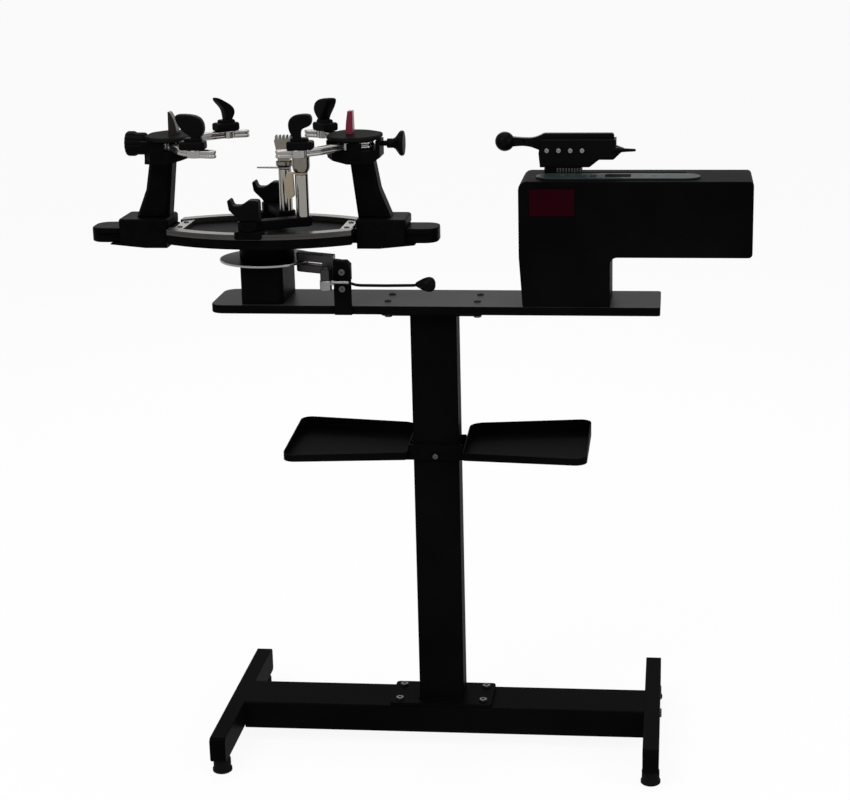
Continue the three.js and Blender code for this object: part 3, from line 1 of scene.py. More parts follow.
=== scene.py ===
"""Finished pieces of an upright racket stringing machine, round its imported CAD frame."""

import json
import math

import bmesh
import bpy
from mathutils import Matrix, Vector

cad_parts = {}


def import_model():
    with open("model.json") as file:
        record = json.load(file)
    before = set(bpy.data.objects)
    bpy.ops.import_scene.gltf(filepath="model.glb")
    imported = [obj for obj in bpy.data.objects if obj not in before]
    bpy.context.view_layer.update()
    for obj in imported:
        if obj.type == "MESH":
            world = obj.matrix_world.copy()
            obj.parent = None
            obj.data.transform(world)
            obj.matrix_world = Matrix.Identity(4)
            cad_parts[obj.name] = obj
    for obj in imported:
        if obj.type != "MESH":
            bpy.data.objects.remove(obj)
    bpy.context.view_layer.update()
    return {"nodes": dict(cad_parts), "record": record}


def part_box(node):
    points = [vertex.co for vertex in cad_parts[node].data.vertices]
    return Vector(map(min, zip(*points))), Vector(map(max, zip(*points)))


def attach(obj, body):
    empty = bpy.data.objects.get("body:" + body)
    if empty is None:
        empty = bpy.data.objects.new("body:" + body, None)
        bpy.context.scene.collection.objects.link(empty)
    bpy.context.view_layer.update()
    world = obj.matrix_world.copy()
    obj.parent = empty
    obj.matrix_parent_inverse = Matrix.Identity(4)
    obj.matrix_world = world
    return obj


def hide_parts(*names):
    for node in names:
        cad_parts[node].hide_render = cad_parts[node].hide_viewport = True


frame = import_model()

bl_info = {
    "name": "Racket stringing machine",
    "version": (1, 0, 0),
    "blender": (4, 5, 0),
    "location": "View3D > Sidebar > Stringer",
    "description": "Finished pieces, finishes, floor and light of an upright stringing machine",
    "category": "Object",
}

MM = 0.001
ROUND_STEPS = 48
WIDE_STEPS = 128
WELD = 1e-5
CAGE_INSET = 2.4
CAGE_CROWN = 0.5

# Levels and places that several pieces share, in millimetres
TABLE_X = -230
TOWER_START = 141
COLUMN_X = 22
BEAM_TOP = 711.6
RAIL_LOW = 816
RAIL_TOP = 824
ARM_LOW = 938.3
ARM_HIGH = 949.7
COVER_LOW = 951.5
COVER_TOP = 958
ADAPTOR_FOOT = 949.6
NUT_LOW = 908


# Sizes and colours


def length(name, description, default):
    return bpy.props.FloatProperty(
        name=name, description=description, default=default, min=0.0, unit="LENGTH", precision=4
    )


def share(name, description, default):
    return bpy.props.FloatProperty(
        name=name, description=description, default=default, min=0.0, max=1.0, subtype="FACTOR"
    )


def tint(name, description, *default):
    return bpy.props.FloatVectorProperty(
        name=name, description=description, default=default, min=0.0, max=1.0, size=3, subtype="COLOR"
    )


class StringerSizes(bpy.types.PropertyGroup):
    """Widths of edges and other sizes that only the finished pieces have."""

    casting_edge: length("Casting edge", "Rounding of the castings' edges", 0.0012)
    plate_edge: length("Plate edge", "Rounding of the plates' and bars' edges", 0.0007)
    plastic_edge: length("Plastic edge", "Rounding of the moulded pieces' edges", 0.0015)
    screw_edge: length("Screw edge", "Rounding of a screw head's rim", 0.0005)
    pad_lip: length("Pad lip", "Height of the wide lip at the foot of a levelling pad", 0.006)


class StringerColours(bpy.types.PropertyGroup):
    """Colours and gloss of the finishes."""

    paint: tint("Paint", "Powder coat of the stand and the head", 0.0021, 0.0019, 0.0021)
    paint_gloss: share("Paint roughness", "Roughness of the powder coat", 0.42)
    # The beam colour is the stand paint made about eight times lighter. It is painted light on the top beam's
    # upward faces and on the screw heads there, while the beam's sides keep the dark paint.
    beam: tint("Beam paint", "Smooth enamel of the top beam", 0.0172, 0.0163, 0.0182)
    casting: tint("Casting", "Enamel of the castings", 0.0018, 0.0017, 0.0018)
    cover: tint("Head cover", "Satin enamel of the head covers", 0.0052, 0.0056, 0.0050)
    plastic: tint("Plastic", "Moulded black plastic", 0.0026, 0.0026, 0.0027)
    rubber: tint("Rubber", "Levelling pads", 0.0060, 0.0060, 0.0060)
    chrome: tint("Chrome", "Chrome of the clamp posts", 0.27, 0.256, 0.234)
    arm_metal: tint("Arm metal", "Worn chrome of the swing arms", 0.28, 0.27, 0.26)
    aluminium: tint("Aluminium", "Anodised rails and bare aluminium", 0.052, 0.050, 0.046)
    steel: tint("Steel", "Zinc plated steel of screws and plates", 0.20, 0.20, 0.20)
    cast_metal: tint("Cast metal", "Grey cast metal of the caliper", 0.036, 0.034, 0.034)
    bronze: tint("Warm silver", "Clamp nuts and jaws", 0.165, 0.152, 0.128)
    red: tint("Red", "Anodised right centre support and the power switch", 0.12, 0.008, 0.020)
    support: tint("Dark support", "Dark metal of the left centre support", 0.017, 0.0135, 0.0125)
    window: tint("Window", "Dark red window of the head", 0.0135, 0.0006, 0.0026)
    panel: tint("Panel", "Panel on top of the head", 0.0125, 0.0180, 0.0185)
    display: tint("Display", "Glass over the display", 0.0015, 0.0022, 0.0025)
    tan: tint("Tan", "Tan guard lever of the front clamp", 0.26, 0.21, 0.15)
    floor: tint("Floor", "Studio floor", 0.86, 0.86, 0.86)


def sizes():
    return bpy.context.scene.stringer_sizes


def colours():
    return bpy.context.scene.stringer_colours


# Finishes


class Wire:
    """A shader socket that takes part in Python sums."""

    def __init__(self, nodes, socket):
        self.nodes = nodes
        self.socket = socket

    def math(self, operation, *others):
        return self.nodes.node("Math", {"operation": operation}, dict(enumerate((self, *others))))

    def __add__(self, other):
        return self.math("ADD", other)

    def __mul__(self, other):
        return self.math("MULTIPLY", other)

    def __sub__(self, other):
        return self.math("SUBTRACT", other)

    def __truediv__(self, other):
        return self.math("DIVIDE", other)

    def __rsub__(self, other):
        return (self * -1.0) + other

    __radd__ = __add__
    __rmul__ = __mul__

    def over(self, edge, softness):
        """1 where this value is above edge and 0 below it, with a soft step."""
        return ((self - edge) / softness + 0.5).math("MAXIMUM", 0.0).math("MINIMUM", 1.0)


class Nodes:
    """The emptied node tree of a material or a world, with one output node."""

    def __init__(self, owner, output):
        owner.use_nodes = True
        self.tree = owner.node_tree
        self.tree.nodes.clear()
        self.output = self.tree.nodes.new("ShaderNodeOutput" + output)

    def show(self, wire):
        self.feed(self.output.inputs["Surface"], wire)

    def node(self, kind, settings=None, inputs=None, output=0):
        """A node of a kind, with its settings set first and then its sockets; gives one output."""
        made = self.tree.nodes.new("ShaderNode" + kind)
        for key, value in (settings or {}).items():
            if key == "stops":
                self.fill_ramp(made.color_ramp, value)
            else:
                setattr(made, key, value)
        for key, value in (inputs or {}).items():
            self.feed(made.inputs[key], value)
        return Wire(self, made.outputs[output])

    def fill_ramp(self, ramp, stops):
        while len(ramp.elements) < len(stops):
            ramp.elements.new(0.5)
        for element, (place, value) in zip(ramp.elements, stops):
            element.position = place
            element.color = (value, value, value, 1.0)

    def feed(self, socket, value):
        if isinstance(value, Wire):
            self.tree.links.new(value.socket, socket)
        elif socket.type == "RGBA":
            socket.default_value = (*value, 1.0)
        else:
            socket.default_value = value

    def seen_white(self):
        """1 for the rays that show a white studio: from the camera, a mirroring surface or glass."""
        camera, glossy, through = (self.node("LightPath", output=f"Is {kind} Ray") for kind in
                                   ("Camera", "Glossy", "Transmission"))
        return (camera + glossy + through).math("MINIMUM", 1.0)


class Finish(Nodes):
    """One material and the nodes in it."""

    def __init__(self, name):
        self.material = bpy.data.materials.new(name)
        super().__init__(self.material, "Material")
        self.shader = self.tree.nodes.new("ShaderNodeBsdfPrincipled")
        self.surface = Wire(self, self.shader.outputs[0])
        self.show(self.surface)

    def set(self, **values):
        for key, value in values.items():
            self.feed(self.shader.inputs[key.replace("_", " ")], value)
        return self

    def place(self, centre=(0.0, 0.0, 0.0), stretch=(1.0, 1.0, 1.0)):
        """Object coordinates about a centre, in metres, stretched along the axes."""
        where = self.node("TexCoord", output="Object")
        moved = self.node("VectorMath", {"operation": "SUBTRACT"}, {0: where, 1: centre})
        return self.node("VectorMath", {"operation": "MULTIPLY"}, {0: moved, 1: stretch})

    def axes(self, centre=(0.0, 0.0, 0.0)):
        vector = self.place(centre)
        made = self.node("SeparateXYZ", inputs={0: vector})
        return [Wire(self, made.socket.node.outputs[i]) for i in range(3)]

    def noise(self, scale, detail=2.0, stretch=(1.0, 1.0, 1.0)):
        return self.node(
            "TexNoise", inputs={"Vector": self.place(stretch=stretch), "Scale": scale, "Detail": detail}
        )

    def ramp(self, value, *stops):
        return self.node("ValToRGB", {"stops": stops}, {0: value})

    def mixed(self, mask, first, second):
        """first where mask is 0 and second where it is 1, as colours."""
        return self.node(
            "Mix", {"data_type": "RGBA"}, {"Factor": mask, 6: first, 7: second}, output=2
        )

    def bump(self, height, distance, strength=1.0, onto=None):
        inputs = {"Height": height, "Distance": distance, "Strength": strength}
        if onto is not None:
            inputs["Normal"] = onto
        return self.node("Bump", inputs=inputs)


PEEL_DEPTH = 0.00012
DISC_BAND = 0.0695
FINE_LINES = (700.0, 700.0, 30.0)
UPRIGHT_LINES = (600.0, 600.0, 20.0)


def scaled(colour, factor):
    return tuple(min(channel * factor, 1.0) for channel in colour)


def powder_coat(name, colour, gloss, grain=1.0, sheen=0.0028):
    """Satin paint with a fine orange peel and a little dust."""
    finish = Finish(name)
    cloud = finish.noise(9.0, 3.0)
    peel = finish.noise(900.0, 2.0)
    colour_here = finish.mixed(finish.ramp(cloud, (0.35, 0.0), (0.75, 1.0)), colour, scaled(colour, 1.7))
    finish.set(
        Base_Color=colour_here,
        Roughness=cloud * 0.12 + peel * 0.06 + (gloss - 0.09),
        Normal=finish.bump(peel, PEEL_DEPTH * grain, 0.5),
        Specular_IOR_Level=sheen,
    )
    return finish


def enamel(name, colour, gloss, sheen=0.006):
    """Smooth casting enamel over a slightly uneven casting."""
    finish = Finish(name)
    swell = finish.noise(70.0, 2.0)
    grit = finish.noise(1400.0, 1.0)
    finish.set(
        Base_Color=finish.mixed(finish.ramp(swell, (0.3, 0.0), (0.8, 1.0)), colour, scaled(colour, 1.6)),
        Roughness=swell * 0.1 + grit * 0.08 + (gloss - 0.09),
        Normal=finish.bump(grit, 0.00006, 0.4, finish.bump(swell, 0.0004, 0.35)),
        Specular_IOR_Level=sheen,
    )
    return finish


def moulded(name, colour, gloss, grain=0.00005, sheen=0.02):
    """Moulded plastic with a fine sparked grain."""
    finish = Finish(name)
    cloud = finish.noise(25.0, 2.0)
    grit = finish.noise(2200.0, 1.0)
    finish.set(
        Base_Color=finish.mixed(cloud, scaled(colour, 0.85), scaled(colour, 1.25)),
        Roughness=grit * 0.1 + cloud * 0.08 + (gloss - 0.09),
        Normal=finish.bump(grit, grain, 0.5),
        Specular_IOR_Level=sheen,
    )
    return finish


def brushed(name, colour, gloss, stretch=(8.0, 900.0, 900.0), depth=0.00002, metal=1.0):
    """Metal with fine lines across the stretched axes and faint smears."""
    finish = Finish(name)
    lines = finish.noise(1.0, 3.0, stretch)
    smear = finish.noise(30.0, 2.0)
    finish.set(
        Base_Color=finish.mixed(smear, scaled(colour, 0.86), scaled(colour, 1.12)),
        Metallic=metal,
        Roughness=lines * 0.16 + smear * 0.1 + (gloss - 0.13),
        Normal=finish.bump(lines, depth, 0.5),
    )
    return finish


def polished(name, colour, gloss):
    """Plated metal with faint haze and tiny pits."""
    finish = Finish(name)
    haze = finish.noise(45.0, 3.0)
    pits = finish.noise(1600.0, 1.0)
    finish.set(
        Base_Color=finish.mixed(haze, scaled(colour, 0.92), scaled(colour, 1.06)),
        Metallic=1.0,
        Roughness=haze * 0.08 + pits * 0.03 + (gloss - 0.05),
        Normal=finish.bump(pits, 0.000008, 0.4),
    )
    return finish


def machined_disc(name, colour, centre, rim_radius):
    """Black disc face with turning marks and a bright band at its rim."""
    finish = Finish(name)
    x, y, _ = finish.axes(centre)
    reach = (x * x + y * y).math("SQRT")
    bright = reach.over(rim_radius, 0.0004)
    marks = (reach * 5200.0).math("SINE") * 0.5 + 0.5
    dark = colours().casting
    finish.set(
        Specular_IOR_Level=0.03,
        Base_Color=finish.mixed(bright, scaled(dark, 1.4), colour),
        Metallic=bright * 0.95,
        Roughness=marks * 0.1 + 0.3 - bright * 0.08,
        Normal=finish.bump(marks, 0.00001, 0.5),
    )
    return finish


def glassy(name, colour, gloss=0.06):
    """Dark glossy plastic pane with faint wipe marks."""
    finish = Finish(name)
    wipe = finish.noise(14.0, 4.0, (1.0, 1.0, 6.0))
    finish.set(
        Base_Color=finish.mixed(wipe, scaled(colour, 0.8), scaled(colour, 1.2)),
        Roughness=wipe * 0.06 + gloss - 0.03,
        Specular_IOR_Level=0.008,
    )
    return finish


def finish_makers():
    """Every finish by its name, each made when it is first asked for."""
    c = colours()
    return {
        "paint": lambda n: powder_coat(n, c.paint, c.paint_gloss),
        # The beam finish is a lit copy of the paint. Its lighter colour is painted light, and its sheen and
        # roughness are the top's own smoother coat.
        "beam": lambda n: powder_coat(n, c.beam, 0.38, 0.4, 0.014),
        "casting": lambda n: enamel(n, c.casting, 0.4),
        "cover": lambda n: enamel(n, c.cover, 0.42, 0.0012),
        "table": lambda n: enamel(n, c.casting, 0.34, 0.004),
        "plastic": lambda n: moulded(n, c.plastic, 0.42, sheen=0.012),
        "gloss_plastic": lambda n: moulded(n, c.plastic, 0.22, 0.00002, 0.018),
        "rubber": lambda n: moulded(n, c.rubber, 0.72, 0.00012),
        "chrome": lambda n: polished(n, c.chrome, 0.1),
        "arm_metal": lambda n: polished(n, c.arm_metal, 0.2),
        "bracket_metal": lambda n: brushed(n, scaled(c.aluminium, 2.6), 0.32),
        "screw": lambda n: brushed(n, scaled(c.steel, 0.34), 0.4, FINE_LINES),
        "aluminium": lambda n: brushed(n, c.aluminium, 0.36),
        "cast_metal": lambda n: brushed(n, c.cast_metal, 0.44, (300.0, 300.0, 300.0), 0.00006),
        "support_metal": lambda n: brushed(n, c.support, 0.3, UPRIGHT_LINES),
        "steel": lambda n: brushed(n, c.steel, 0.32, FINE_LINES),
        "bronze": lambda n: brushed(n, c.bronze, 0.26, (20.0, 20.0, 900.0)),
        "red": lambda n: brushed(n, c.red, 0.32, UPRIGHT_LINES, metal=0.7),
        "red_plastic": lambda n: moulded(n, c.red, 0.25),
        "disc": lambda n: machined_disc(n, c.arm_metal, mm(TABLE_X, 0, 0), DISC_BAND),
        "window": lambda n: glassy(n, c.window),
        "display": lambda n: moulded(n, c.display, 0.5, 0.00001, 0.002),
        "panel": lambda n: moulded(n, c.panel, 0.4, 0.00003, 0.03),
        "tan": lambda n: moulded(n, c.tan, 0.42, 0.00003, 0.2),
        "button": lambda n: moulded(n, scaled(c.panel, 1.5), 0.4, 0.00003, 0.03),
        "mark": lambda n: moulded(n, scaled(c.panel, 1.9), 0.4, 0.00003, 0.03),
    }


made_finishes = {}


def finish(name):
    if name not in made_finishes:
        made_finishes[name] = finish_makers()[name](f"{name}_finish").material
    return made_finishes[name]


# Meshes. Outlines, profiles and levels are millimetres, turned to metres by MM. A bevel's width in soften
# and a centre are metres, like the sizes that a user can change.


def mm(*values):
    return Vector(value * MM for value in values)


TURNS = {
    "X": Matrix(((0, 0, 1), (1, 0, 0), (0, 1, 0))).to_4x4(),
    "Y": Matrix(((1, 0, 0), (0, 0, 1), (0, 1, 0))).to_4x4(),
    "Z": Matrix.Identity(4),
}


def move(bm, matrix):
    bmesh.ops.transform(bm, matrix=matrix, verts=bm.verts)
    return bm


def put(bm, axis="Z", centre=(0.0, 0.0, 0.0), spin=0.0):
    """Turns a mesh made along Z to lie along an axis, then moves it to its centre in metres."""
    if spin:
        move(bm, Matrix.Rotation(spin, 4, "Z"))
    move(bm, Matrix.Translation(centre) @ TURNS[axis])
    bmesh.ops.recalc_face_normals(bm, faces=bm.faces)
    return bm


def soften(bm, width, segments=2, least=24.0, pick=None):
    """Bevels every edge that is sharper than least degrees."""
    edges = [
        edge
        for edge in bm.edges
        if len(edge.link_faces) == 2
        and edge.calc_face_angle(0.0) > math.radians(least)
        and (pick is None or pick(edge))
    ]
    if edges and width > 0:
        bmesh.ops.bevel(
            bm, geom=edges, offset=width, offset_type="OFFSET", affect="EDGES", segments=segments,
            profile=0.5, material=-1, clamp_overlap=True,
        )
    return bm


def spun(bm, profile, steps, closed=False):
    """Adds the full turn of a profile of (radius, place) in millimetres round the Z axis."""
    verts = [bm.verts.new(mm(radius, 0, place)) for radius, place in profile]
    edges = [bm.edges.new(pair) for pair in zip(verts, verts[1:])]
    if closed:
        edges.append(bm.edges.new((verts[-1], verts[0])))
    bmesh.ops.spin(
        bm, geom=verts + edges, cent=(0, 0, 0), axis=(0, 0, 1), dvec=(0, 0, 0),
        angle=2 * math.pi, steps=steps, use_merge=True, use_duplicate=False,
    )


def turned(profile, axis="Z", centre=(0.0, 0.0, 0.0), steps=ROUND_STEPS, edge=0.0):
    """A closed turned piece; a profile that leaves the axis free at both ends gives a ring."""
    bm = bmesh.new()
    spun(bm, profile, steps, profile[0][0] > 0 and profile[-1][0] > 0)
    bmesh.ops.remove_doubles(bm, verts=bm.verts, dist=WELD / 4)
    bmesh.ops.recalc_face_normals(bm, faces=bm.faces)
    if edge:
        soften(bm, edge * MM, 2, 30.0)
    return put(bm, axis, centre)


def prism(outline, axis, low, high, rim=0.0, steps=6, rim_steps=2):
    """A prism of an outline of (a, b, corner radius) in millimetres, with a rounded rim."""
    bm = bmesh.new()
    ring = [bm.verts.new(mm(corner[0], corner[1], low)) for corner in outline]
    made = bmesh.ops.extrude_face_region(bm, geom=[bm.faces.new(ring)])
    top = [item for item in made["geom"] if isinstance(item, bmesh.types.BMVert)]
    bmesh.ops.translate(bm, verts=top, vec=mm(0, 0, high - low))
    bmesh.ops.recalc_face_normals(bm, faces=bm.faces)
    top = set(top)
    by_radius = {}
    for vert, corner in zip(ring, outline):
        if len(corner) > 2 and corner[2] > 0:
            upright = next(edge for edge in vert.link_edges if edge.other_vert(vert) in top)
            by_radius.setdefault(corner[2], []).append(upright)
    for radius, uprights in by_radius.items():
        bmesh.ops.bevel(
            bm, geom=uprights, offset=radius * MM, offset_type="OFFSET", affect="EDGES", segments=steps,
            profile=0.5, material=-1, clamp_overlap=False,
        )
    if rim:
        def on_rim(edge):
            return any(all(abs(v.co.z - z * MM) < WELD / 2 for v in edge.verts) for z in (low, high))

        soften(bm, rim * MM, rim_steps, 60.0, on_rim)
    return put(bm, axis)


def rectangle(x0, x1, y0, y1, radius):
    return [(x0, y0, radius), (x1, y0, radius), (x1, y1, radius), (x0, y1, radius)]


def wide_path(points, half, turn=4.0):
    """The outline of a bar of even width along points, in millimetres, with full round ends."""
    spots = [Vector(point) for point in points]
    left, right = [], []
    for i, spot in enumerate(spots):
        near = spots[max(i - 1, 0):i + 2]
        ways = [(b - a).normalized() for a, b in zip(near, near[1:])]
        along = sum(ways, Vector((0.0, 0.0))).normalized()
        side = Vector((-along.y, along.x)) * (half / along.dot(ways[0]))
        if len(ways) == 1:
            spot = spot + along * (-half if i == 0 else half)
        radius = half * 0.97 if len(ways) == 1 else turn
        left.append((*(spot + side), radius))
        right.append((*(spot - side), radius))
    return right + left[::-1]


def before(start, stop, gap):
    """The point that lies gap millimetres before stop on the way from start."""
    start, stop = Vector(start), Vector(stop)
    return stop + (start - stop).normalized() * gap


def slot_ring(points, half, wall, low, high, edge):
    """A flat link along points, with a wall of even width round its slot."""
    bm = prism(wide_path(points, half), "Z", low, high, steps=12)
    caps = [face for face in bm.faces if abs(face.normal.z) > 0.99]
    bmesh.ops.inset_region(bm, faces=caps, thickness=wall * MM, use_even_offset=True, use_boundary=True)
    rims = [list(face.edges) for face in caps]
    bmesh.ops.delete(bm, geom=caps, context="FACES_ONLY")
    bmesh.ops.bridge_loops(bm, edges=rims[0] + rims[1])
    bmesh.ops.recalc_face_normals(bm, faces=bm.faces)
    return soften(bm, edge * MM, 4, 50.0)


def moulded_cage(outline, half):
    """A coarse upright cage of an outline with crowned sides, for a subdivision surface."""
    bm = prism(outline, "Y", -half, half)
    for cap in [face for face in bm.faces if abs(face.normal.y) > 0.99]:
        bmesh.ops.inset_region(
            bm, faces=[cap], thickness=CAGE_INSET * MM, depth=CAGE_CROWN * MM,
            use_even_offset=True, use_boundary=True)
    return bm


def bar_along(points, radius, steps):
    """A round bar that follows points in metres, which run roughly along X, with a radius in millimetres."""
    bm = bmesh.new()
    turn = Matrix.Translation(points[0]) @ TURNS["X"]
    made = bmesh.ops.create_circle(bm, cap_ends=False, segments=steps, radius=radius * MM, matrix=turn)
    rim = list({edge for vert in made["verts"] for edge in vert.link_edges})
    for start, stop in zip(points, points[1:]):
        grown = bmesh.ops.extrude_edge_only(bm, edges=rim)["geom"]
        rim = [item for item in grown if isinstance(item, bmesh.types.BMEdge)]
        bmesh.ops.translate(bm, verts=list({v for edge in rim for v in edge.verts}), vec=stop - start)
    bmesh.ops.holes_fill(bm, edges=[edge for edge in bm.edges if edge.is_boundary], sides=0)
    bmesh.ops.recalc_face_normals(bm, faces=bm.faces)
    return bm


def from_cad(node, edge, segments=2, least=24.0):
    """A merged copy of a CAD node's mesh with its edges rounded."""
    bm = bmesh.new()
    bm.from_mesh(frame["nodes"][node].data)
    bmesh.ops.remove_doubles(bm, verts=bm.verts, dist=WELD / 2)
    bmesh.ops.dissolve_limit(
        bm, angle_limit=math.radians(0.6), verts=bm.verts, edges=bm.edges, delimit={"NORMAL"}
    )
    soften(bm, edge, segments, least)
    return bm


def join(*meshes):
    """One mesh of several loose bodies."""
    whole = meshes[0]
    for other in meshes[1:]:
        data = bpy.data.meshes.new("passing")
        other.to_mesh(data)
        other.free()
        whole.from_mesh(data)
        bpy.data.meshes.remove(data)
    return whole


def piece(name, body, bm, materials, zones=(), replaces=(), smooth=38.0, levels=0):
    """Makes a mesh into a named object that rides on a body.

    zones give the faces that take the second and further materials, as tests of a face's centre in
    millimetres and its normal.
    """
    bmesh.ops.dissolve_degenerate(bm, dist=WELD / 10, edges=bm.edges)
    for face in bm.faces:
        middle = face.calc_center_median() / MM
        for index, test in enumerate(zones, 1):
            if test(middle, face.normal):
                face.material_index = index
                break
    mesh = bpy.data.meshes.new(name)
    bm.to_mesh(mesh)
    bm.free()
    mesh.polygons.foreach_set("use_smooth", [True] * len(mesh.polygons))
    mesh.set_sharp_from_angle(angle=math.radians(smooth))
    for material in materials if isinstance(materials, (list, tuple)) else [materials]:
        mesh.materials.append(finish(material))
    made = bpy.data.objects.new(name, mesh)
    bpy.context.scene.collection.objects.link(made)
    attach(made, body)
    if replaces:
        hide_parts(*([replaces] if isinstance(replaces, str) else replaces))
    if levels:
        rounding = made.modifiers.new("Rounding", "SUBSURF")
        rounding.levels = rounding.render_levels = levels
    else:
        made.modifiers.new("Even shading", "WEIGHTED_NORMAL").keep_sharp = True
    return made


def box_of(node):
    low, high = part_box(node)
    return low / MM, high / MM


def body_of(node):
    bodies = frame["record"]["behaviour"]["bodies"]
    return next(name for name, members in bodies.items() if node in members)


def dressed(node, edge, materials, zones=(), segments=2, least=24.0, smooth=38.0):
    """A CAD node's finished copy, which stands for it."""
    bm = from_cad(node, edge, segments, least)
    return piece(f"{node}_finished", body_of(node), bm, materials, zones, node, smooth=smooth)


def coat(node, *materials):
    """A CAD node that stays as it is, in a better material."""
    data = frame["nodes"][node].data
    data.materials.clear()
    for material in materials:
        data.materials.append(finish(material))


def cap_screw(axis, centre, diameter, height, hex_width, sign=1):
    """A socket head screw whose head rises from centre, in metres, along the axis."""
    radius = diameter / 2
    chamfer = height * 0.15
    floor = height * 0.45
    bm = bmesh.new()
    spun(bm, [(0, 0), (radius, 0), (radius, height - chamfer), (radius - chamfer, height)], 32)
    spun(bm, [(hex_width / 2, height), (hex_width / 2, floor), (0, floor)], 6)
    bmesh.ops.remove_doubles(bm, verts=bm.verts, dist=WELD / 4)
    bmesh.ops.bridge_loops(bm, edges=[edge for edge in bm.edges if edge.is_boundary])
    if sign < 0:
        bmesh.ops.scale(bm, vec=(1, 1, -1), verts=bm.verts)
    return put(bm, axis, centre)


def keep_side(bm, point, normal):
    """Cuts a mesh at a plane, keeps what lies behind its normal and closes the cut."""
    geom = bm.verts[:] + bm.edges[:] + bm.faces[:]
    bmesh.ops.bisect_plane(bm, geom=geom, dist=WELD / 10, plane_co=point, plane_no=normal, clear_outer=True)
    bmesh.ops.holes_fill(bm, edges=[edge for edge in bm.edges if edge.is_boundary], sides=0)
    return bm


def sink(bm, level, wall, depth):
    """Sinks the upward faces at a level, leaving a wall round them; all in millimetres."""
    faces = [
        face for face in bm.faces
        if face.normal.z > 0.99 and abs(face.calc_center_median().z - level * MM) < WELD
    ]
    bmesh.ops.inset_region(bm, faces=faces, thickness=wall * MM, use_even_offset=True, use_boundary=True)
    made = bmesh.ops.extrude_face_region(bm, geom=faces)
    down = [item for item in made["geom"] if isinstance(item, bmesh.types.BMVert)]
    bmesh.ops.translate(bm, verts=down, vec=mm(0, 0, -depth))
    bmesh.ops.delete(bm, geom=[face for face in faces if face.is_valid], context="FACES_ONLY")
    return bm


# Pieces

BASE = "base"
TABLE = "turntable"


PAD_TOP = 24.7
FOOT_HALF = 12.25


def build_stand():
    edge = sizes().plate_edge / MM
    lip = sizes().pad_lip / MM
    for side, sign in (("left", -1), ("right", 1)):
        low, high = box_of(f"foot_{side}")
        middle = (low.x + high.x) / 2
        near, far = middle - FOOT_HALF, middle + FOOT_HALF
        bar = prism(rectangle(low.y, high.y, PAD_TOP, high.z, 7), "X", near, far, edge)
        piece(f"foot_bar_{side}", BASE, bar, "paint", replaces=f"foot_{side}")
        profile = [(0, 0), (13, 0), (15, 1.6), (15, lip), (13.4, lip + 2), (13.4, 21), (11.5, PAD_TOP),
                   (0, PAD_TOP)]
        pads = [turned(profile, centre=mm(middle, y, 0), edge=0.4) for y in (-155, 155)]
        piece(f"foot_pads_{side}", BASE, join(*pads), "rubber")
        bolt = cap_screw("X", mm(middle + sign * FOOT_HALF, 0, 44.6), 14, 2.6, 7, sign)
        piece(f"foot_bolt_{side}", BASE, bolt, "screw")
    low, high = box_of("cross_beam")
    beam = prism(rectangle(low.y, high.y, low.z, high.z, 3), "X", low.x, high.x)
    piece("cross_beam_tube", BASE, beam, "paint", replaces="cross_beam")


def four(spread, side):
    """Four places round the column's axis."""
    near, far = COLUMN_X - spread, COLUMN_X + spread
    return [(near, -side), (far, -side), (far, side), (near, side)]


def round_column(spread, half, radius):
    return rectangle(COLUMN_X - spread, COLUMN_X + spread, -half, half, radius)


def build_column():
    low, high = box_of("column")
    edge = sizes().plate_edge / MM
    tube = prism(round_column(35, 25, 5), "Z", low.z + 5, high.z - 4)
    foot = prism(round_column(80, 43, 6), "Z", low.z, low.z + 5.5, edge)
    head = prism(round_column(75, 45, 6), "Z", high.z - 5, high.z, edge)
    piece("column_tube", BASE, join(tube, foot, head), "paint", replaces="column")
    welds = [
        prism(round_column(37, 27, 7), "Z", z, z + 3, 1.4, rim_steps=3)
        for z in (low.z + 5, high.z - 7.6)
    ]
    piece("column_welds", BASE, join(*welds), "paint")
    screws = [cap_screw("Z", mm(x, y, low.z + 5.5), 12, 3.4, 6) for x, y in four(66, 27)]
    piece("column_screws", BASE, join(*screws), "screw")
    nuts = [turned([(0, 0), (6, 0), (6, 5.8), (0, 5.8)], centre=mm(x, y, high.z - 10.8), steps=6, edge=0.6)
            for x, y in four(67, 24)]
    piece("column_nuts", BASE, join(*nuts), "screw")


def build_top_beam():
    low, high = box_of("top_beam")
    outline = [(low.x, low.y, 20), (high.x, low.y, 5), (high.x, high.y, 5), (low.x, high.y, 20)]
    # The upward faces take the beam finish, a lighter colour painted there as the light falling on the top;
    # the sides stay in the dark paint.
    piece("top_beam_plate", BASE, prism(outline, "Z", low.z, BEAM_TOP, 1.0), ["paint", "beam"],
          [lambda at, normal: normal.z > 0.9], replaces="top_beam")
    # The screw heads on top take the same painted light.
    screws = [cap_screw("Z", mm(x, y, BEAM_TOP), 10, 2.2, 5) for x, y in four(67, 24)]
    piece("top_beam_screws", BASE, join(*screws), "beam")


TRAY_WALL = 2.2
TRAY_FRONT_SHARE = 0.42


def lower_front(tray, floor):
    """Lets a tray's rim rise from a share of its height at the front to all of it 66 mm behind the middle."""
    for vert in tray.verts:
        if vert.co.z > floor + 0.5 * MM:
            back = min(max((vert.co.y / MM + 64) / 130, 0.0), 1.0)
            vert.co.z = floor + (vert.co.z - floor) * (TRAY_FRONT_SHARE + (1 - TRAY_FRONT_SHARE) * back)


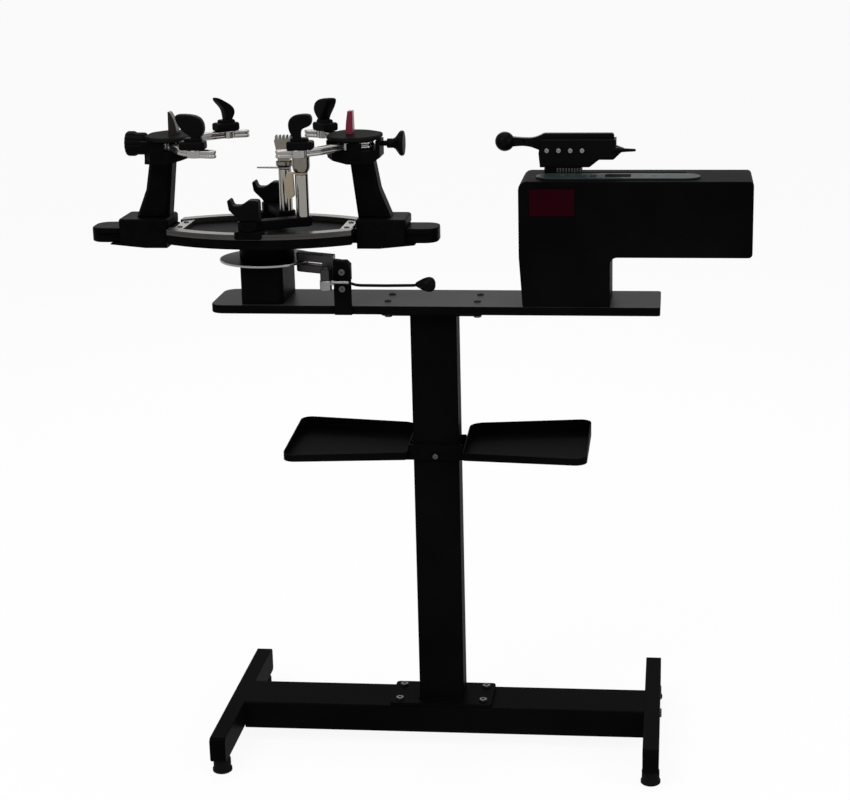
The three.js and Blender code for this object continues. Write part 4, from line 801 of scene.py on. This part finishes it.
def build_trays():
    for side, sign in (("left", -1), ("right", 1)):
        low, high = box_of(f"tray_{side}")
        inner, outer = (high.x, low.x) if sign < 0 else (low.x, high.x)
        outline = [(inner, -45, 5), (outer, -64, 20), (outer, 118, 20), (inner, 88, 20)]
        tray = prism(outline, "Z", low.z, high.z, steps=10)
        sink(tray, high.z, TRAY_WALL, 19.8)
        soften(tray, 0.0006, 2, 60.0)
        lower_front(tray, (low.z + TRAY_WALL) * MM)
        piece(f"tray_{side}_pressed", BASE, tray, "paint", replaces=f"tray_{side}")
    dressed("tray_bracket", sizes().plate_edge, "paint")
    piece("tray_bracket_screw", BASE, cap_screw("Y", mm(22, -33.2, 473), 8, 2.6, 4, -1), "screw")


def build_carrier():
    middle = mm(TABLE_X, 0, 0)
    low, high = box_of("pedestal")
    block = prism(rectangle(-32, 32, -52, 52, 9), "Z", low.z, high.z, 1.0)
    caps = [face for face in block.faces if abs(face.normal.z) > 0.99]
    bmesh.ops.delete(block, geom=caps, context="FACES_ONLY")
    spun(block, [(13, low.z), (13, high.z - 12), (21.4, high.z - 12), (21.4, high.z)], 64)
    bmesh.ops.remove_doubles(block, verts=block.verts, dist=WELD / 4)
    for level in (low.z, high.z):
        loops = [edge for edge in block.edges
                 if edge.is_boundary and all(abs(v.co.z - level * MM) < WELD for v in edge.verts)]
        bmesh.ops.bridge_loops(block, edges=loops)
    piece("pedestal_block", BASE, put(block, "Z", middle), "casting", replaces="pedestal")
    coat("turntable_bearing", "steel")
    low, high = box_of("brake_disc")
    disc = turned(
        [(12.4, low.z), (71, low.z), (71, high.z), (12.4, high.z)], centre=middle, steps=WIDE_STEPS, edge=0.4)
    piece("brake_disc_turned", TABLE, disc, "disc", replaces="brake_disc")
    low, high = box_of("turntable_hub")
    hub = turned(
        [(0, low.z), (12, low.z), (12, 773), (41, 773), (41, high.z), (0, high.z)],
        centre=middle, steps=WIDE_STEPS, edge=0.8)
    piece("turntable_hub_turned", TABLE, hub, "casting", replaces="turntable_hub")


RAIL_RADIUS = 250
RAIL_REACH = 138


def curved_rail(side):
    """A clamp rail: its grooved section swept on the arc and cut off square at both ends."""
    groove = [(0, 820), (-1.4, 820), (-1.4, 821.5), (0, 821.5)]
    section = [(0, RAIL_LOW), *groove, (0, RAIL_TOP), (-18, RAIL_TOP), (-18, RAIL_LOW)]
    half = math.asin(146 / 232)
    start = Matrix.Rotation(-half, 3, "Z")
    bm = bmesh.new()
    verts = [bm.verts.new(start @ mm(0, side * (RAIL_RADIUS + out), z)) for out, z in section]
    edges = [bm.edges.new((verts[i - 1], verts[i])) for i in range(len(verts))]
    bmesh.ops.spin(
        bm, geom=verts + edges, cent=(0, 0, 0), axis=(0, 0, 1), dvec=(0, 0, 0),
        angle=2 * half, steps=72, use_merge=False, use_duplicate=False,
    )
    move(bm, Matrix.Translation(mm(TABLE_X, -side * 155, 0)))
    for end in (-1, 1):
        keep_side(bm, mm(TABLE_X + end * RAIL_REACH, 0, 0), (end, 0, 0))
    bmesh.ops.recalc_face_normals(bm, faces=bm.faces)
    return soften(bm, 0.0005, 2, 50.0)


def build_turntable():
    dressed("turntable", sizes().casting_edge, "table", smooth=30.0)
    for name, side in (("front", -1), ("back", 1)):
        rail = curved_rail(side)
        piece(f"rail_{name}_curved", TABLE, rail, "aluminium", replaces=f"rail_{name}", smooth=30.0)
    for name, end in (("left", -1), ("right", 1)):
        far, near, top = TABLE_X + end * 134, TABLE_X + end * 118, 822
        outline = [(far, -33.6, 1), (near, -44, 1), (near, 44, 1), (far, 33.6, 1)]
        plate = prism(outline, "Z", RAIL_LOW, top, 0.6)
        screws = [cap_screw("Z", mm((far + near) / 2, y, top), 8, 1.5, 4) for y in (-20, 20)]
        piece(f"rail_bracket_{name}", TABLE, plate, "bracket_metal")
        piece(f"rail_bracket_screws_{name}", TABLE, join(*screws), "screw")


# A tower's own places are measured from the inner face of its foot, away from the racket. The sign is -1 for
# the left tower and 1 for the right one.


def tower_x(sign, u):
    return TABLE_X + sign * (TOWER_START + u)


HEAD_REACH = {-1: 31.5, 1: 38}
HEAD_HALF = 46
HEAD_FOOT = 917
KNOB_FACE = {-1: 33, 1: 46.3}
KNOB_LEVEL = 944
SUPPORT_TIP = 992


def drawn_in(value, start, end, new_end):
    """Presses what lies between start and end into the room up to new_end, so that a wall stays a wall."""
    return value if value < start else start + (value - start) * (new_end - start) / (end - start)


def head_plan(sign):
    reach = HEAD_REACH[sign]
    corners = [(-42, 16, 6), (-26, 51, 14), (10, 51, 14), (reach, 22, 9)]
    front = [(tower_x(sign, u), -y, r) for u, y, r in corners]
    return front + [(x, -y, r) for x, y, r in reversed(front)]


def scalloped(bm, least, count, depth, sharpness):
    """Presses finger scallops into what lies further than least from the Z axis."""
    for vert in bm.verts:
        if math.hypot(vert.co.x, vert.co.y) > least * MM:
            swing = math.cos(count * math.atan2(vert.co.y, vert.co.x))
            dip = 1 - depth * max(0.0, swing) ** sharpness
            vert.co.x *= dip
            vert.co.y *= dip
    return bm


def knob_mesh(sign):
    """The left knob is a ridged barrel, the right one a flared mushroom."""
    face = KNOB_FACE[sign]
    if sign < 0:
        profile = [(0, face), (15, face), (16.4, face + 1.6), (16.4, face + 14), (18.5, face + 18),
                   (18.5, face + 27), (16.6, face + 30), (0, face + 30)]
        bm = scalloped(turned(profile, steps=144, edge=0.5), 15.5, 14, 0.07, 2)
        bmesh.ops.scale(bm, vec=(1, 1, -1), verts=bm.verts)
    else:
        profile = [(0, 33), (4, 33), (4, face), (7, face), (7, face + 9), (8.5, face + 12), (16.8, face + 18),
                   (18.5, face + 20), (18.5, face + 23.6), (17.2, face + 25), (0, face + 25)]
        bm = scalloped(turned(profile, steps=96, edge=0.5), 14, 8, 0.055, 3)
    return put(bm, "X", mm(tower_x(sign, 0), 0, KNOB_LEVEL))


def fin(sign):
    """A centre support: a round claw on the left, a straight blade on the right."""
    if sign < 0:
        slope = [(-16, COVER_TOP), (-15, 970, 8), (-11, 983, 8), (-6, 991, 1.5)]
    else:
        slope = [(-14, COVER_TOP), (-13, 975, 5), (-10.5, SUPPORT_TIP, 1)]
    back = [(-3, SUPPORT_TIP, 1), (-3, COVER_TOP)]
    outline = [(tower_x(sign, corner[0]), *corner[1:]) for corner in slope + back]
    bm = prism(outline, "Y", -10, 10, 0.7)
    for vert in bm.verts:
        vert.co.y *= 1 - 0.3 * (vert.co.z / MM - COVER_TOP) / (SUPPORT_TIP - COVER_TOP)
    return bm


def slim_head(node, sign):
    """The CAD tower with its head casting drawn in at the outer end, the front and the back.

    The left head also gets dark walls at its front and back, under the cover. They are painted shade, hiding
    the arm's rear there.
    """
    bm = from_cad(node, 0.0)
    for vert in bm.verts:
        if vert.co.z > HEAD_FOOT * MM:
            out = sign * (vert.co.x / MM - TABLE_X) - TOWER_START
            vert.co.x = tower_x(sign, drawn_in(out, 27, 46, HEAD_REACH[sign])) * MM
            vert.co.y = math.copysign(drawn_in(abs(vert.co.y) / MM, 40, 58, HEAD_HALF) * MM, vert.co.y)
    bmesh.ops.remove_doubles(bm, verts=bm.verts, dist=WELD)
    bmesh.ops.dissolve_limit(
        bm, angle_limit=math.radians(0.6), verts=bm.verts, edges=bm.edges, delimit={"NORMAL"})
    soften(bm, sizes().casting_edge, 3)
    # Dark casting walls under the left cover, put there as painted shade over the arm's rear.
    if sign < 0:
        near, far = tower_x(sign, 1), tower_x(sign, HEAD_REACH[sign] - 0.3)
        plans = (rectangle(far, near, y - 2, y + 2, 1) for y in (-43.5, 43.5))
        return join(bm, *(prism(plan, "Z", 936, COVER_LOW + 1) for plan in plans))
    return bm


def build_towers():
    for side, sign, support in (("left", -1, "support_metal"), ("right", 1, "red")):
        tower = f"tower_{side}"
        piece(f"{tower}_cast", tower, slim_head(tower, sign), "casting", replaces=tower)
        cover = prism(head_plan(sign), "Z", COVER_LOW, COVER_TOP, 2.4, rim_steps=4)
        piece(f"head_cover_{side}_cast", tower, cover, "cover", replaces=f"head_cover_{side}")
        piece(f"centre_support_{side}_fin", tower, fin(sign), support, replaces=f"centre_support_{side}")
        piece(f"knob_{side}_turned", f"knob_{side}", knob_mesh(sign), "plastic", replaces=f"knob_{side}")


def swing_arm(sign, across):
    """A bent arm of two rods on a core, with eyes at its pivot and adaptor and a slotted end."""
    low, high, rod = ARM_LOW, ARM_HIGH, 5.3
    levels = (low, high - rod)
    rear, pivot, elbow, tip, end = (
        (tower_x(sign, u), across * v) for u, v in ((18, 17), (-11, 32), (-41, 80), (-66, 105), (-91, 112)))
    runs = ([rear, before(rear, pivot, 12.8)], [before(elbow, pivot, 12.8), elbow, before(elbow, tip, 11.4)])
    parts = [
        prism(wide_path(run, 7), "Z", level, level + rod, 2.2, 10, 4) for run in runs for level in levels
    ]
    parts += [prism(wide_path(run, 5.4), "Z", low + 2, high - 2, 0, 10) for run in runs]
    for hole, reach, spot in ((5.3, 8.2, pivot), (3.8, 12, tip)):
        eye = turned([(hole, low), (reach, low), (reach, high), (hole, high)], centre=mm(*spot, 0))
        parts.append(soften(eye, 0.001, 3, 50.0))
    loop = [before(end, tip, 12), end]
    parts += [slot_ring(loop, 7, 3.8, level, level + rod, 1.85) for level in levels]
    parts.append(slot_ring(loop, 6, 2.4, low + 2, high - 2, 0))
    return join(*parts)


# Each adaptor's place, its angle in degrees, and the outline of its hook in its own plane: reach outwards,
# and height above its base
ADAPTORS = {
    "left_front": ((-305, -105), 180, [
        (-8, -2), (-8.5, 5), (-14, 10), (-16, 17), (-15.5, 26), (-11, 34), (-3, 38), (10, 39.5), (22, 39.5),
        (27, 37), (24, 27), (18, 17), (11, 11), (4, 8), (3, 3), (3, -2),
    ]),
    "left_back": ((-305, 105), 225, [
        (-4.5, -2), (-4.5, 5), (-10, 12), (-11, 20), (-5, 28), (6, 34), (16, 40), (21, 40), (20, 34),
        (13, 27), (7, 20), (5.5, 12), (4.5, 5), (4.5, -2),
    ]),
    "right_front": ((-155, -105), 0, [
        (-5, -2), (-6, 5), (-11, 12), (-13.5, 22), (-12, 31), (-6, 37), (4, 39), (14, 39.5), (20, 38),
        (22, 31), (20, 23), (14, 20), (7, 18), (4, 13), (4.5, 6), (5, -2),
    ]),
    "right_back": ((-155, 105), -45, [
        (-4.5, -2), (-4.5, 5), (-12, 11), (-17, 19), (-14, 30), (-2, 37), (13, 38.5), (25, 39.5), (24, 32),
        (17, 21), (8, 11), (4.5, 5), (4.5, -2),
    ]),
}


def build_arms():
    for side, sign in (("left", -1), ("right", 1)):
        for end, across in (("front", -1), ("back", 1)):
            arm = f"arm_{side}_{end}"
            piece(f"{arm}_bent", arm, swing_arm(sign, across), "arm_metal", replaces=arm, smooth=32.0)
    foot = ADAPTOR_FOOT
    for place, ((x, y), angle, outline) in ADAPTORS.items():
        name = f"adaptor_{place}"
        turn = Matrix.Translation(mm(x, y, 0)) @ Matrix.Rotation(math.radians(angle), 4, "Z")
        base = prism(rectangle(-16, 22, -13, 13, 6), "Z", foot, foot + 12.5, 3.4, rim_steps=4)
        collar = prism(rectangle(-11, 15, -9, 9, 6), "Z", foot + 11, foot + 17, 3, rim_steps=4)
        pin = turned([(0, ARM_LOW), (3.5, ARM_LOW), (3.5, 952), (0, 952)])
        piece(f"{name}_base", name, move(join(base, collar, pin), turn), "plastic", replaces=name)
        cage = moulded_cage([(u, foot + 11.6 + h) for u, h in outline], 8.4)
        piece(f"{name}_hook", name, move(cage, turn), "plastic", smooth=180.0, levels=2)


# Each clamp post's place and the height of the nut on it
POSTS = {"front": (-164.1, -44.4, 22), "back": (-199.6, 11.3, 8)}
POST_RADIUS = 9.75
POST_TOP = 905
CLAMP_BAR_TOP = 843.02


def build_clamps():
    for place, (x, y, nut_height) in POSTS.items():
        dressed(f"clamp_slider_{place}", sizes().casting_edge, "casting", least=30.0)
        dressed(f"clamp_lock_{place}", sizes().plastic_edge, "plastic", segments=3)
        arm = from_cad(f"clamp_arm_{place}", 0.0)
        keep_side(arm, mm(0, 0, CLAMP_BAR_TOP), (0, 0, 1))
        soften(arm, 0.001, 3)
        piece(
            f"clamp_arm_{place}_bar", f"clamp_arm_{place}", arm, "casting", replaces=f"clamp_arm_{place}")
        nut_top = NUT_LOW + nut_height
        stud = [(4, POST_TOP), (4, nut_top + 3), (0, nut_top + 3)]
        profile = [(0, 842), (POST_RADIUS, 842), (POST_RADIUS, POST_TOP - 1.2), (8.6, POST_TOP), *stud]
        post = turned(profile, centre=mm(x, y, 0), edge=0.3)
        piece(f"clamp_post_{place}", f"clamp_arm_{place}", post, "chrome")
        body = f"clamp_jaw_{place}"
        jaw = from_cad(body, 0.0)
        keep_side(jaw, mm(0, 0, nut_top - 0.02), (0, 0, -1))
        soften(jaw, 0.0004, 2)
        piece(f"{body}_comb", body, jaw, "bronze", replaces=body)
        bowl = [(radius, NUT_LOW + height * (nut_height / 22))
                for radius, height in ((POST_RADIUS, 0), (11.4, 2.5), (12.6, 6), (13, 10))]
        nut = turned([(4.3, NUT_LOW), *bowl, (13, nut_top), (4.3, nut_top)], edge=0.5)
        move(nut, Matrix.Translation(mm(x, y, 0)))
        piece(f"clamp_nut_{place}", body, nut, "bronze")
    dressed("clamp_lever_front", 0.0008, "tan")
    dressed("clamp_lever_back", 0.0004, "steel")


def build_brake():
    low, high = box_of("brake_bracket")
    bracket = from_cad("brake_bracket", 0.0)
    corner = mm(high.x - 0.1, 0, high.z - 0.1)

    def at_corner(edge):
        return all(v.co.x > corner.x and v.co.z > corner.z for v in edge.verts)

    soften(bracket, 0.006, 6, 24.0, at_corner)
    soften(bracket, 0.0008, 2)
    piece("brake_bracket_cast", BASE, bracket, "casting", replaces="brake_bracket")
    x = (low.x + high.x) / 2
    bolts = [cap_screw("Y", mm(x, low.y + 3, low.z + level), 10, 3.2, 2.6, -1) for level in (40, 65)]
    piece("brake_bolts", BASE, join(*bolts), "screw")
    seam = low.x - 0.5
    jaws = from_cad("brake_caliper", 0.0)
    keep_side(jaws, mm(seam, 0, 0), (1, 0, 0))
    block = from_cad("brake_caliper", 0.0)
    for point, normal in (((seam, 0, 0), (-1, 0, 0)), ((0, 0, high.z - 0.8), (0, 0, 1)),
                          ((high.x - 1.5, 0, 0), (1, 0, 0)), ((high.x - 4, 0, high.z - 4), (1, 0, 1))):
        keep_side(block, mm(*point), normal)
    soften(jaws, 0.0009, 2)
    soften(block, 0.0009, 2)
    piece("brake_caliper_cast", BASE, join(jaws, block), ["cast_metal", "casting"],
          [lambda at, normal: at.x > seam], replaces="brake_caliper")
    low, high = box_of("brake_lever")
    hub = from_cad("brake_lever", 0.0)
    keep_side(hub, mm(-116, 0, 0), (1, 0, 0))
    soften(hub, 0.0005, 2, 30.0)
    piece("brake_lever_hub", "brake_lever", hub, "steel", replaces="brake_lever")
    bend = [(-122, 749.8), (-99, 749.8), (-95, 749.3), (-90, 747.8), (-84, 746.2), (-77, 745.6), (-40, 745.4),
            (0, 746), (10, 747)]
    rod = bar_along([mm(x, -72, z) for x, z in bend], 2.2, 20)
    piece("brake_lever_rod", "brake_lever", rod, ["gloss_plastic", "steel"], [lambda at, normal: at.x < -95])
    profile = [(0, -15.6), (2.6, -15.4), (3.8, -13.6), (6, -9.6), (8.6, -5), (10.4, 0), (11.2, 4), (11, 7),
               (9.8, 10.2), (7.2, 12.6), (3.8, 13.8), (0, 14)]
    knob = turned(profile, "X", mm(high.x - 14.1, -72, 747.6))
    piece("brake_knob", "brake_lever", knob, "gloss_plastic", levels=1, smooth=180.0)


def build_head():
    housing = from_cad("head_housing", 0.0)
    front = box_of("head_housing")[0].y

    def front_rim(edge):
        """The housing's front edges, apart from those round the window."""
        return all(v.co.y / MM < front + 0.01 and not (
            169 < v.co.x / MM < 236 and 845 < v.co.z / MM < 886) for v in edge.verts)

    soften(housing, 0.003, 4, 24.0, front_rim)
    soften(housing, 0.0008, 2, 40.0)
    piece("head_housing_shell", BASE, housing, "paint", replaces="head_housing", smooth=30.0)
    dressed("head_back_cover", sizes().plate_edge, "paint", smooth=30.0)
    dressed("control_panel", 0.0006, ["panel", "display"],
            [lambda at, normal: at.z > 898.9 and 278 < at.x < 316], smooth=30.0)
    ring = [(3.4, 898.6), (5, 898.6), (5, 898.75), (3.4, 898.75)]
    marks = [turned(ring, centre=mm(x, -17, 0), steps=36) for x in (330, 350, 370)]
    piece("panel_marks", BASE, join(*marks), "mark")
    coat("indicator_window", "window")
    for i in range(4):
        low, high = box_of(f"button_{i + 1}")
        x, y = (low.x + high.x) / 2, (low.y + high.y) / 2
        button = turned([(0, low.z), (5, low.z), (5, high.z - 0.8), (4, high.z - 0.1), (0, high.z)],
                        centre=mm(x, y, 0), edge=0.25)
        piece(f"button_{i + 1}_cap", f"button_{i + 1}", button, "button", replaces=f"button_{i + 1}")
    dressed("power_inlet", 0.0003, ["plastic", "steel"],
            [lambda at, normal: at.y < 57 and 203 < at.x < 222 and 744 < at.z < 756 and abs(normal.y) < 0.9])
    dressed("power_switch", 0.0005, "red_plastic")


def build_gripper():
    dressed("gripper_body", 0.0009, "gloss_plastic", least=28.0)
    screws = [cap_screw("Y", mm(191.4 + i * 17.3, 13, 930.6), 6.6, 2.2, 1.8, -1) for i in range(4)]
    piece("gripper_screws", "carriage", join(*screws), "steel")
    cone = turned(
        [(0, 288), (4.4, 288), (3.9, 297), (3, 303), (2.6, 308), (2, 320.4), (1.1, 321.8), (0, 321.8)],
        "X", mm(0, 16, 931))
    piece("gripper_trigger_cone", "carriage", cone, "gloss_plastic")
    rib = [(0, 898.4), (1.6, 898.4), (1.6, 905), (0, 905)]
    ribs = [turned(rib, centre=mm(207 + 4.2 * i, 14.2, 0), steps=20, edge=0.3) for i in range(9)]
    piece("gripper_base_ribs", "carriage", join(*ribs), "screw")
    lever = from_cad("gripper_lever", 0.0)
    keep_side(lever, mm(184, 0, 0), (-1, 0, 0))
    soften(lever, 0.0009, 2, 28.0)
    piece("gripper_lever_bar", "gripper_lever", lever, "gloss_plastic", replaces="gripper_lever")
    level, middle = 942.5, 28
    above = [(141, 6.8), (150, 5.8), (161, 5.4), (173, 5.4), (180, 9), (186, 12)]
    below = [(186, -15), (180, -12.5), (172, -8.8), (161, -6), (150, -6), (141, -7)]
    neck = prism([(x, level + z, 8 if 141 < x < 186 else 0) for x, z in above[::-1] + below[::-1]],
                 "Y", middle - 5.6, middle + 5.6, 2.2, rim_steps=4)
    rounds, size = 24, 14.4
    turns = [math.pi * i / rounds for i in range(1, rounds)]
    ball = [(0, -size), *((size * math.sin(turn), -size * math.cos(turn)) for turn in turns), (0, size)]
    piece("gripper_lever_neck", "gripper_lever", neck, "gloss_plastic")
    piece("gripper_lever_ball", "gripper_lever", turned(ball, "X", mm(128.5, middle, level)), "gloss_plastic")


def build_drive():
    coat("guide_frame", "aluminium")
    coat("lead_screw", "steel")
    coat("tension_motor", "paint")
    coat("carriage", "cast_metal")


# The photograph's camera: focal length and middle in pixels of a frame of 850 x 800, angles in degrees
FRAME_WIDTH = 850
FOCAL_PIXELS = 1941.72
LENS_MIDDLE = (494.55, 415.12)
CAMERA_ANGLES = (5.48, 15.80, -0.84)
CAMERA_PLACE = (381.6, -2831.25, 1334.66)
LIT_CENTRE = (0.0, 0.0, 0.55)
FLOOR_GLOW = 0.92
SOFT_LIGHT = 0.45
# Each lamp's place from the lit centre in metres, its size in metres and its power in watts
LAMPS = {
    "key_lamp": ((-1.6, -2.2, 2.4), 1.6, 42.0),
    "side_lamp": ((2.6, -1.4, 1.2), 1.4, 22.0),
    "back_lamp": ((-0.4, 2.6, 2.2), 1.8, 26.0),
    "top_lamp": ((0.1, -0.3, 2.6), 2.2, 34.0),
}


def build_floor(scene):
    """A pale floor that the camera, and what the object mirrors, see as white."""
    finish_here = Finish("studio_floor")
    pale = colours().floor
    grit = finish_here.noise(3.0)
    finish_here.set(Base_Color=finish_here.mixed(grit, pale, scaled(pale, 1.02)), Roughness=0.9)
    glow = finish_here.node("Emission", inputs={"Color": (1.0, 1.0, 1.0), "Strength": 1.0})
    mask = finish_here.seen_white() * FLOOR_GLOW
    finish_here.show(finish_here.node("MixShader", inputs={0: mask, 1: finish_here.surface, 2: glow}))
    bm = bmesh.new()
    bmesh.ops.create_grid(bm, x_segments=1, y_segments=1, size=30.0)
    mesh = bpy.data.meshes.new("studio_floor")
    bm.to_mesh(mesh)
    bm.free()
    mesh.materials.append(finish_here.material)
    ground = bpy.data.objects.new("studio_floor", mesh)
    scene.collection.objects.link(ground)


def build_world(scene):
    """A white background for the camera, gloss and glass, and a soft even light for the rest."""
    world = bpy.data.worlds.new("studio")
    scene.world = world
    nodes = Nodes(world, "World")
    back, soft = (nodes.node("Background", inputs={"Color": (1.0, 1.0, 1.0), "Strength": strength})
                  for strength in (1.0, SOFT_LIGHT))
    nodes.show(nodes.node("MixShader", inputs={0: nodes.seen_white(), 1: soft, 2: back}))


def build_lamps(scene):
    centre = Vector(LIT_CENTRE)
    for name, (offset, size, power) in LAMPS.items():
        lamp = bpy.data.lights.new(name, "AREA")
        lamp.size = size
        lamp.energy = power
        made = bpy.data.objects.new(name, lamp)
        made.location = centre + Vector(offset)
        made.rotation_euler = (-Vector(offset)).to_track_quat("-Z", "Y").to_euler()
        scene.collection.objects.link(made)


def build_camera(scene):
    """The camera that took the photograph, as its edges give it."""
    lens = bpy.data.cameras.new("studio_camera")
    lens.sensor_width = 36.0
    lens.lens = FOCAL_PIXELS / FRAME_WIDTH * lens.sensor_width
    lens.shift_x = (425 - LENS_MIDDLE[0]) / FRAME_WIDTH
    lens.shift_y = (LENS_MIDDLE[1] - 400) / FRAME_WIDTH
    lens.clip_end = 100.0
    camera = bpy.data.objects.new("studio_camera", lens)
    yaw, pitch, roll = (math.radians(angle) for angle in CAMERA_ANGLES)
    ahead = Vector((-math.sin(yaw) * math.cos(pitch), math.cos(yaw) * math.cos(pitch), -math.sin(pitch)))
    right = ahead.cross(Vector((0, 0, 1))).normalized()
    up = right.cross(ahead)
    across = right * math.cos(roll) + up * math.sin(roll)
    upright = up * math.cos(roll) - right * math.sin(roll)
    turn = Matrix((across, upright, -ahead)).transposed().to_4x4()
    camera.matrix_world = Matrix.Translation(mm(*CAMERA_PLACE)) @ turn
    scene.collection.objects.link(camera)
    scene.camera = camera


def build_stage():
    scene = bpy.context.scene
    scene.view_settings.view_transform = "Standard"
    build_floor(scene)
    build_world(scene)
    build_lamps(scene)
    build_camera(scene)


# Operators


class STRINGER_OT_stage(bpy.types.Operator):
    """Floor, lamps, world and camera."""

    bl_idname = "stringer.stage"
    bl_label = "Stage"

    def execute(self, context):
        build_stage()
        return {"FINISHED"}


class STRINGER_OT_stand(bpy.types.Operator):
    """Foot bars with their levelling pads, and the cross beam."""

    bl_idname = "stringer.stand"
    bl_label = "Stand"

    def execute(self, context):
        build_stand()
        return {"FINISHED"}


class STRINGER_OT_column(bpy.types.Operator):
    """Column tube with its two bolted flanges, welds, screws and nuts."""

    bl_idname = "stringer.column"
    bl_label = "Column"

    def execute(self, context):
        build_column()
        return {"FINISHED"}


class STRINGER_OT_top_beam(bpy.types.Operator):
    """Flat beam under the turntable and the head."""

    bl_idname = "stringer.top_beam"
    bl_label = "Top beam"

    def execute(self, context):
        build_top_beam()
        return {"FINISHED"}


class STRINGER_OT_trays(bpy.types.Operator):
    """Two tool trays and the bracket between them."""

    bl_idname = "stringer.trays"
    bl_label = "Trays"

    def execute(self, context):
        build_trays()
        return {"FINISHED"}


class STRINGER_OT_carrier(bpy.types.Operator):
    """Pedestal, bearing, brake disc and hub of the turntable."""

    bl_idname = "stringer.carrier"
    bl_label = "Turntable carrier"

    def execute(self, context):
        build_carrier()
        return {"FINISHED"}


class STRINGER_OT_turntable(bpy.types.Operator):
    """Turntable bar, curved clamp rails and their end brackets."""

    bl_idname = "stringer.turntable"
    bl_label = "Turntable"

    def execute(self, context):
        build_turntable()
        return {"FINISHED"}


class STRINGER_OT_towers(bpy.types.Operator):
    """Towers with their head covers, centre supports and knobs."""

    bl_idname = "stringer.towers"
    bl_label = "Mounting towers"

    def execute(self, context):
        build_towers()
        return {"FINISHED"}


class STRINGER_OT_arms(bpy.types.Operator):
    """Chrome swing arms and the frame adaptors on them."""

    bl_idname = "stringer.arms"
    bl_label = "Swing arms"

    def execute(self, context):
        build_arms()
        return {"FINISHED"}


class STRINGER_OT_clamps(bpy.types.Operator):
    """Sliders, locks, arms, posts, jaws and levers of both clamps."""

    bl_idname = "stringer.clamps"
    bl_label = "String clamps"

    def execute(self, context):
        build_clamps()
        return {"FINISHED"}


class STRINGER_OT_brake(bpy.types.Operator):
    """Brake bracket, caliper and lever with its knob."""

    bl_idname = "stringer.brake"
    bl_label = "Turntable brake"

    def execute(self, context):
        build_brake()
        return {"FINISHED"}


class STRINGER_OT_head(bpy.types.Operator):
    """Housing, covers, panel, window, buttons and power module."""

    bl_idname = "stringer.head"
    bl_label = "Tension head"

    def execute(self, context):
        build_head()
        return {"FINISHED"}


class STRINGER_OT_gripper(bpy.types.Operator):
    """Gripper body with its screws, and the gripper lever."""

    bl_idname = "stringer.gripper"
    bl_label = "Gripper"

    def execute(self, context):
        build_gripper()
        return {"FINISHED"}


class STRINGER_OT_drive(bpy.types.Operator):
    """Guide frame, lead screw, motor and carriage inside the head."""

    bl_idname = "stringer.drive"
    bl_label = "Drive"

    def execute(self, context):
        build_drive()
        return {"FINISHED"}


class STRINGER_PT_panel(bpy.types.Panel):
    """Sizes, colours and pieces of the stringing machine."""

    bl_label = "Stringing machine"
    bl_idname = "STRINGER_PT_panel"
    bl_space_type = "VIEW_3D"
    bl_region_type = "UI"
    bl_category = "Stringer"

    def draw(self, context):
        layout = self.layout
        for group in (context.scene.stringer_sizes, context.scene.stringer_colours):
            box = layout.box()
            for key in group.__annotations__:
                box.prop(group, key)
        for step in STEPS:
            layout.operator(step.bl_idname)


STEPS = (
    STRINGER_OT_stage,
    STRINGER_OT_stand,
    STRINGER_OT_column,
    STRINGER_OT_top_beam,
    STRINGER_OT_trays,
    STRINGER_OT_carrier,
    STRINGER_OT_turntable,
    STRINGER_OT_towers,
    STRINGER_OT_arms,
    STRINGER_OT_clamps,
    STRINGER_OT_brake,
    STRINGER_OT_head,
    STRINGER_OT_gripper,
    STRINGER_OT_drive,
)
CLASSES = (StringerSizes, StringerColours, *STEPS, STRINGER_PT_panel)


def register():
    for kind in CLASSES:
        bpy.utils.register_class(kind)
    bpy.types.Scene.stringer_sizes = bpy.props.PointerProperty(type=StringerSizes)
    bpy.types.Scene.stringer_colours = bpy.props.PointerProperty(type=StringerColours)


def unregister():
    del bpy.types.Scene.stringer_colours
    del bpy.types.Scene.stringer_sizes
    for kind in reversed(CLASSES):
        bpy.utils.unregister_class(kind)


def main():
    register()
    for step in STEPS:
        getattr(bpy.ops.stringer, step.bl_idname.split(".")[1])()


if __name__ == "__main__":
    main()
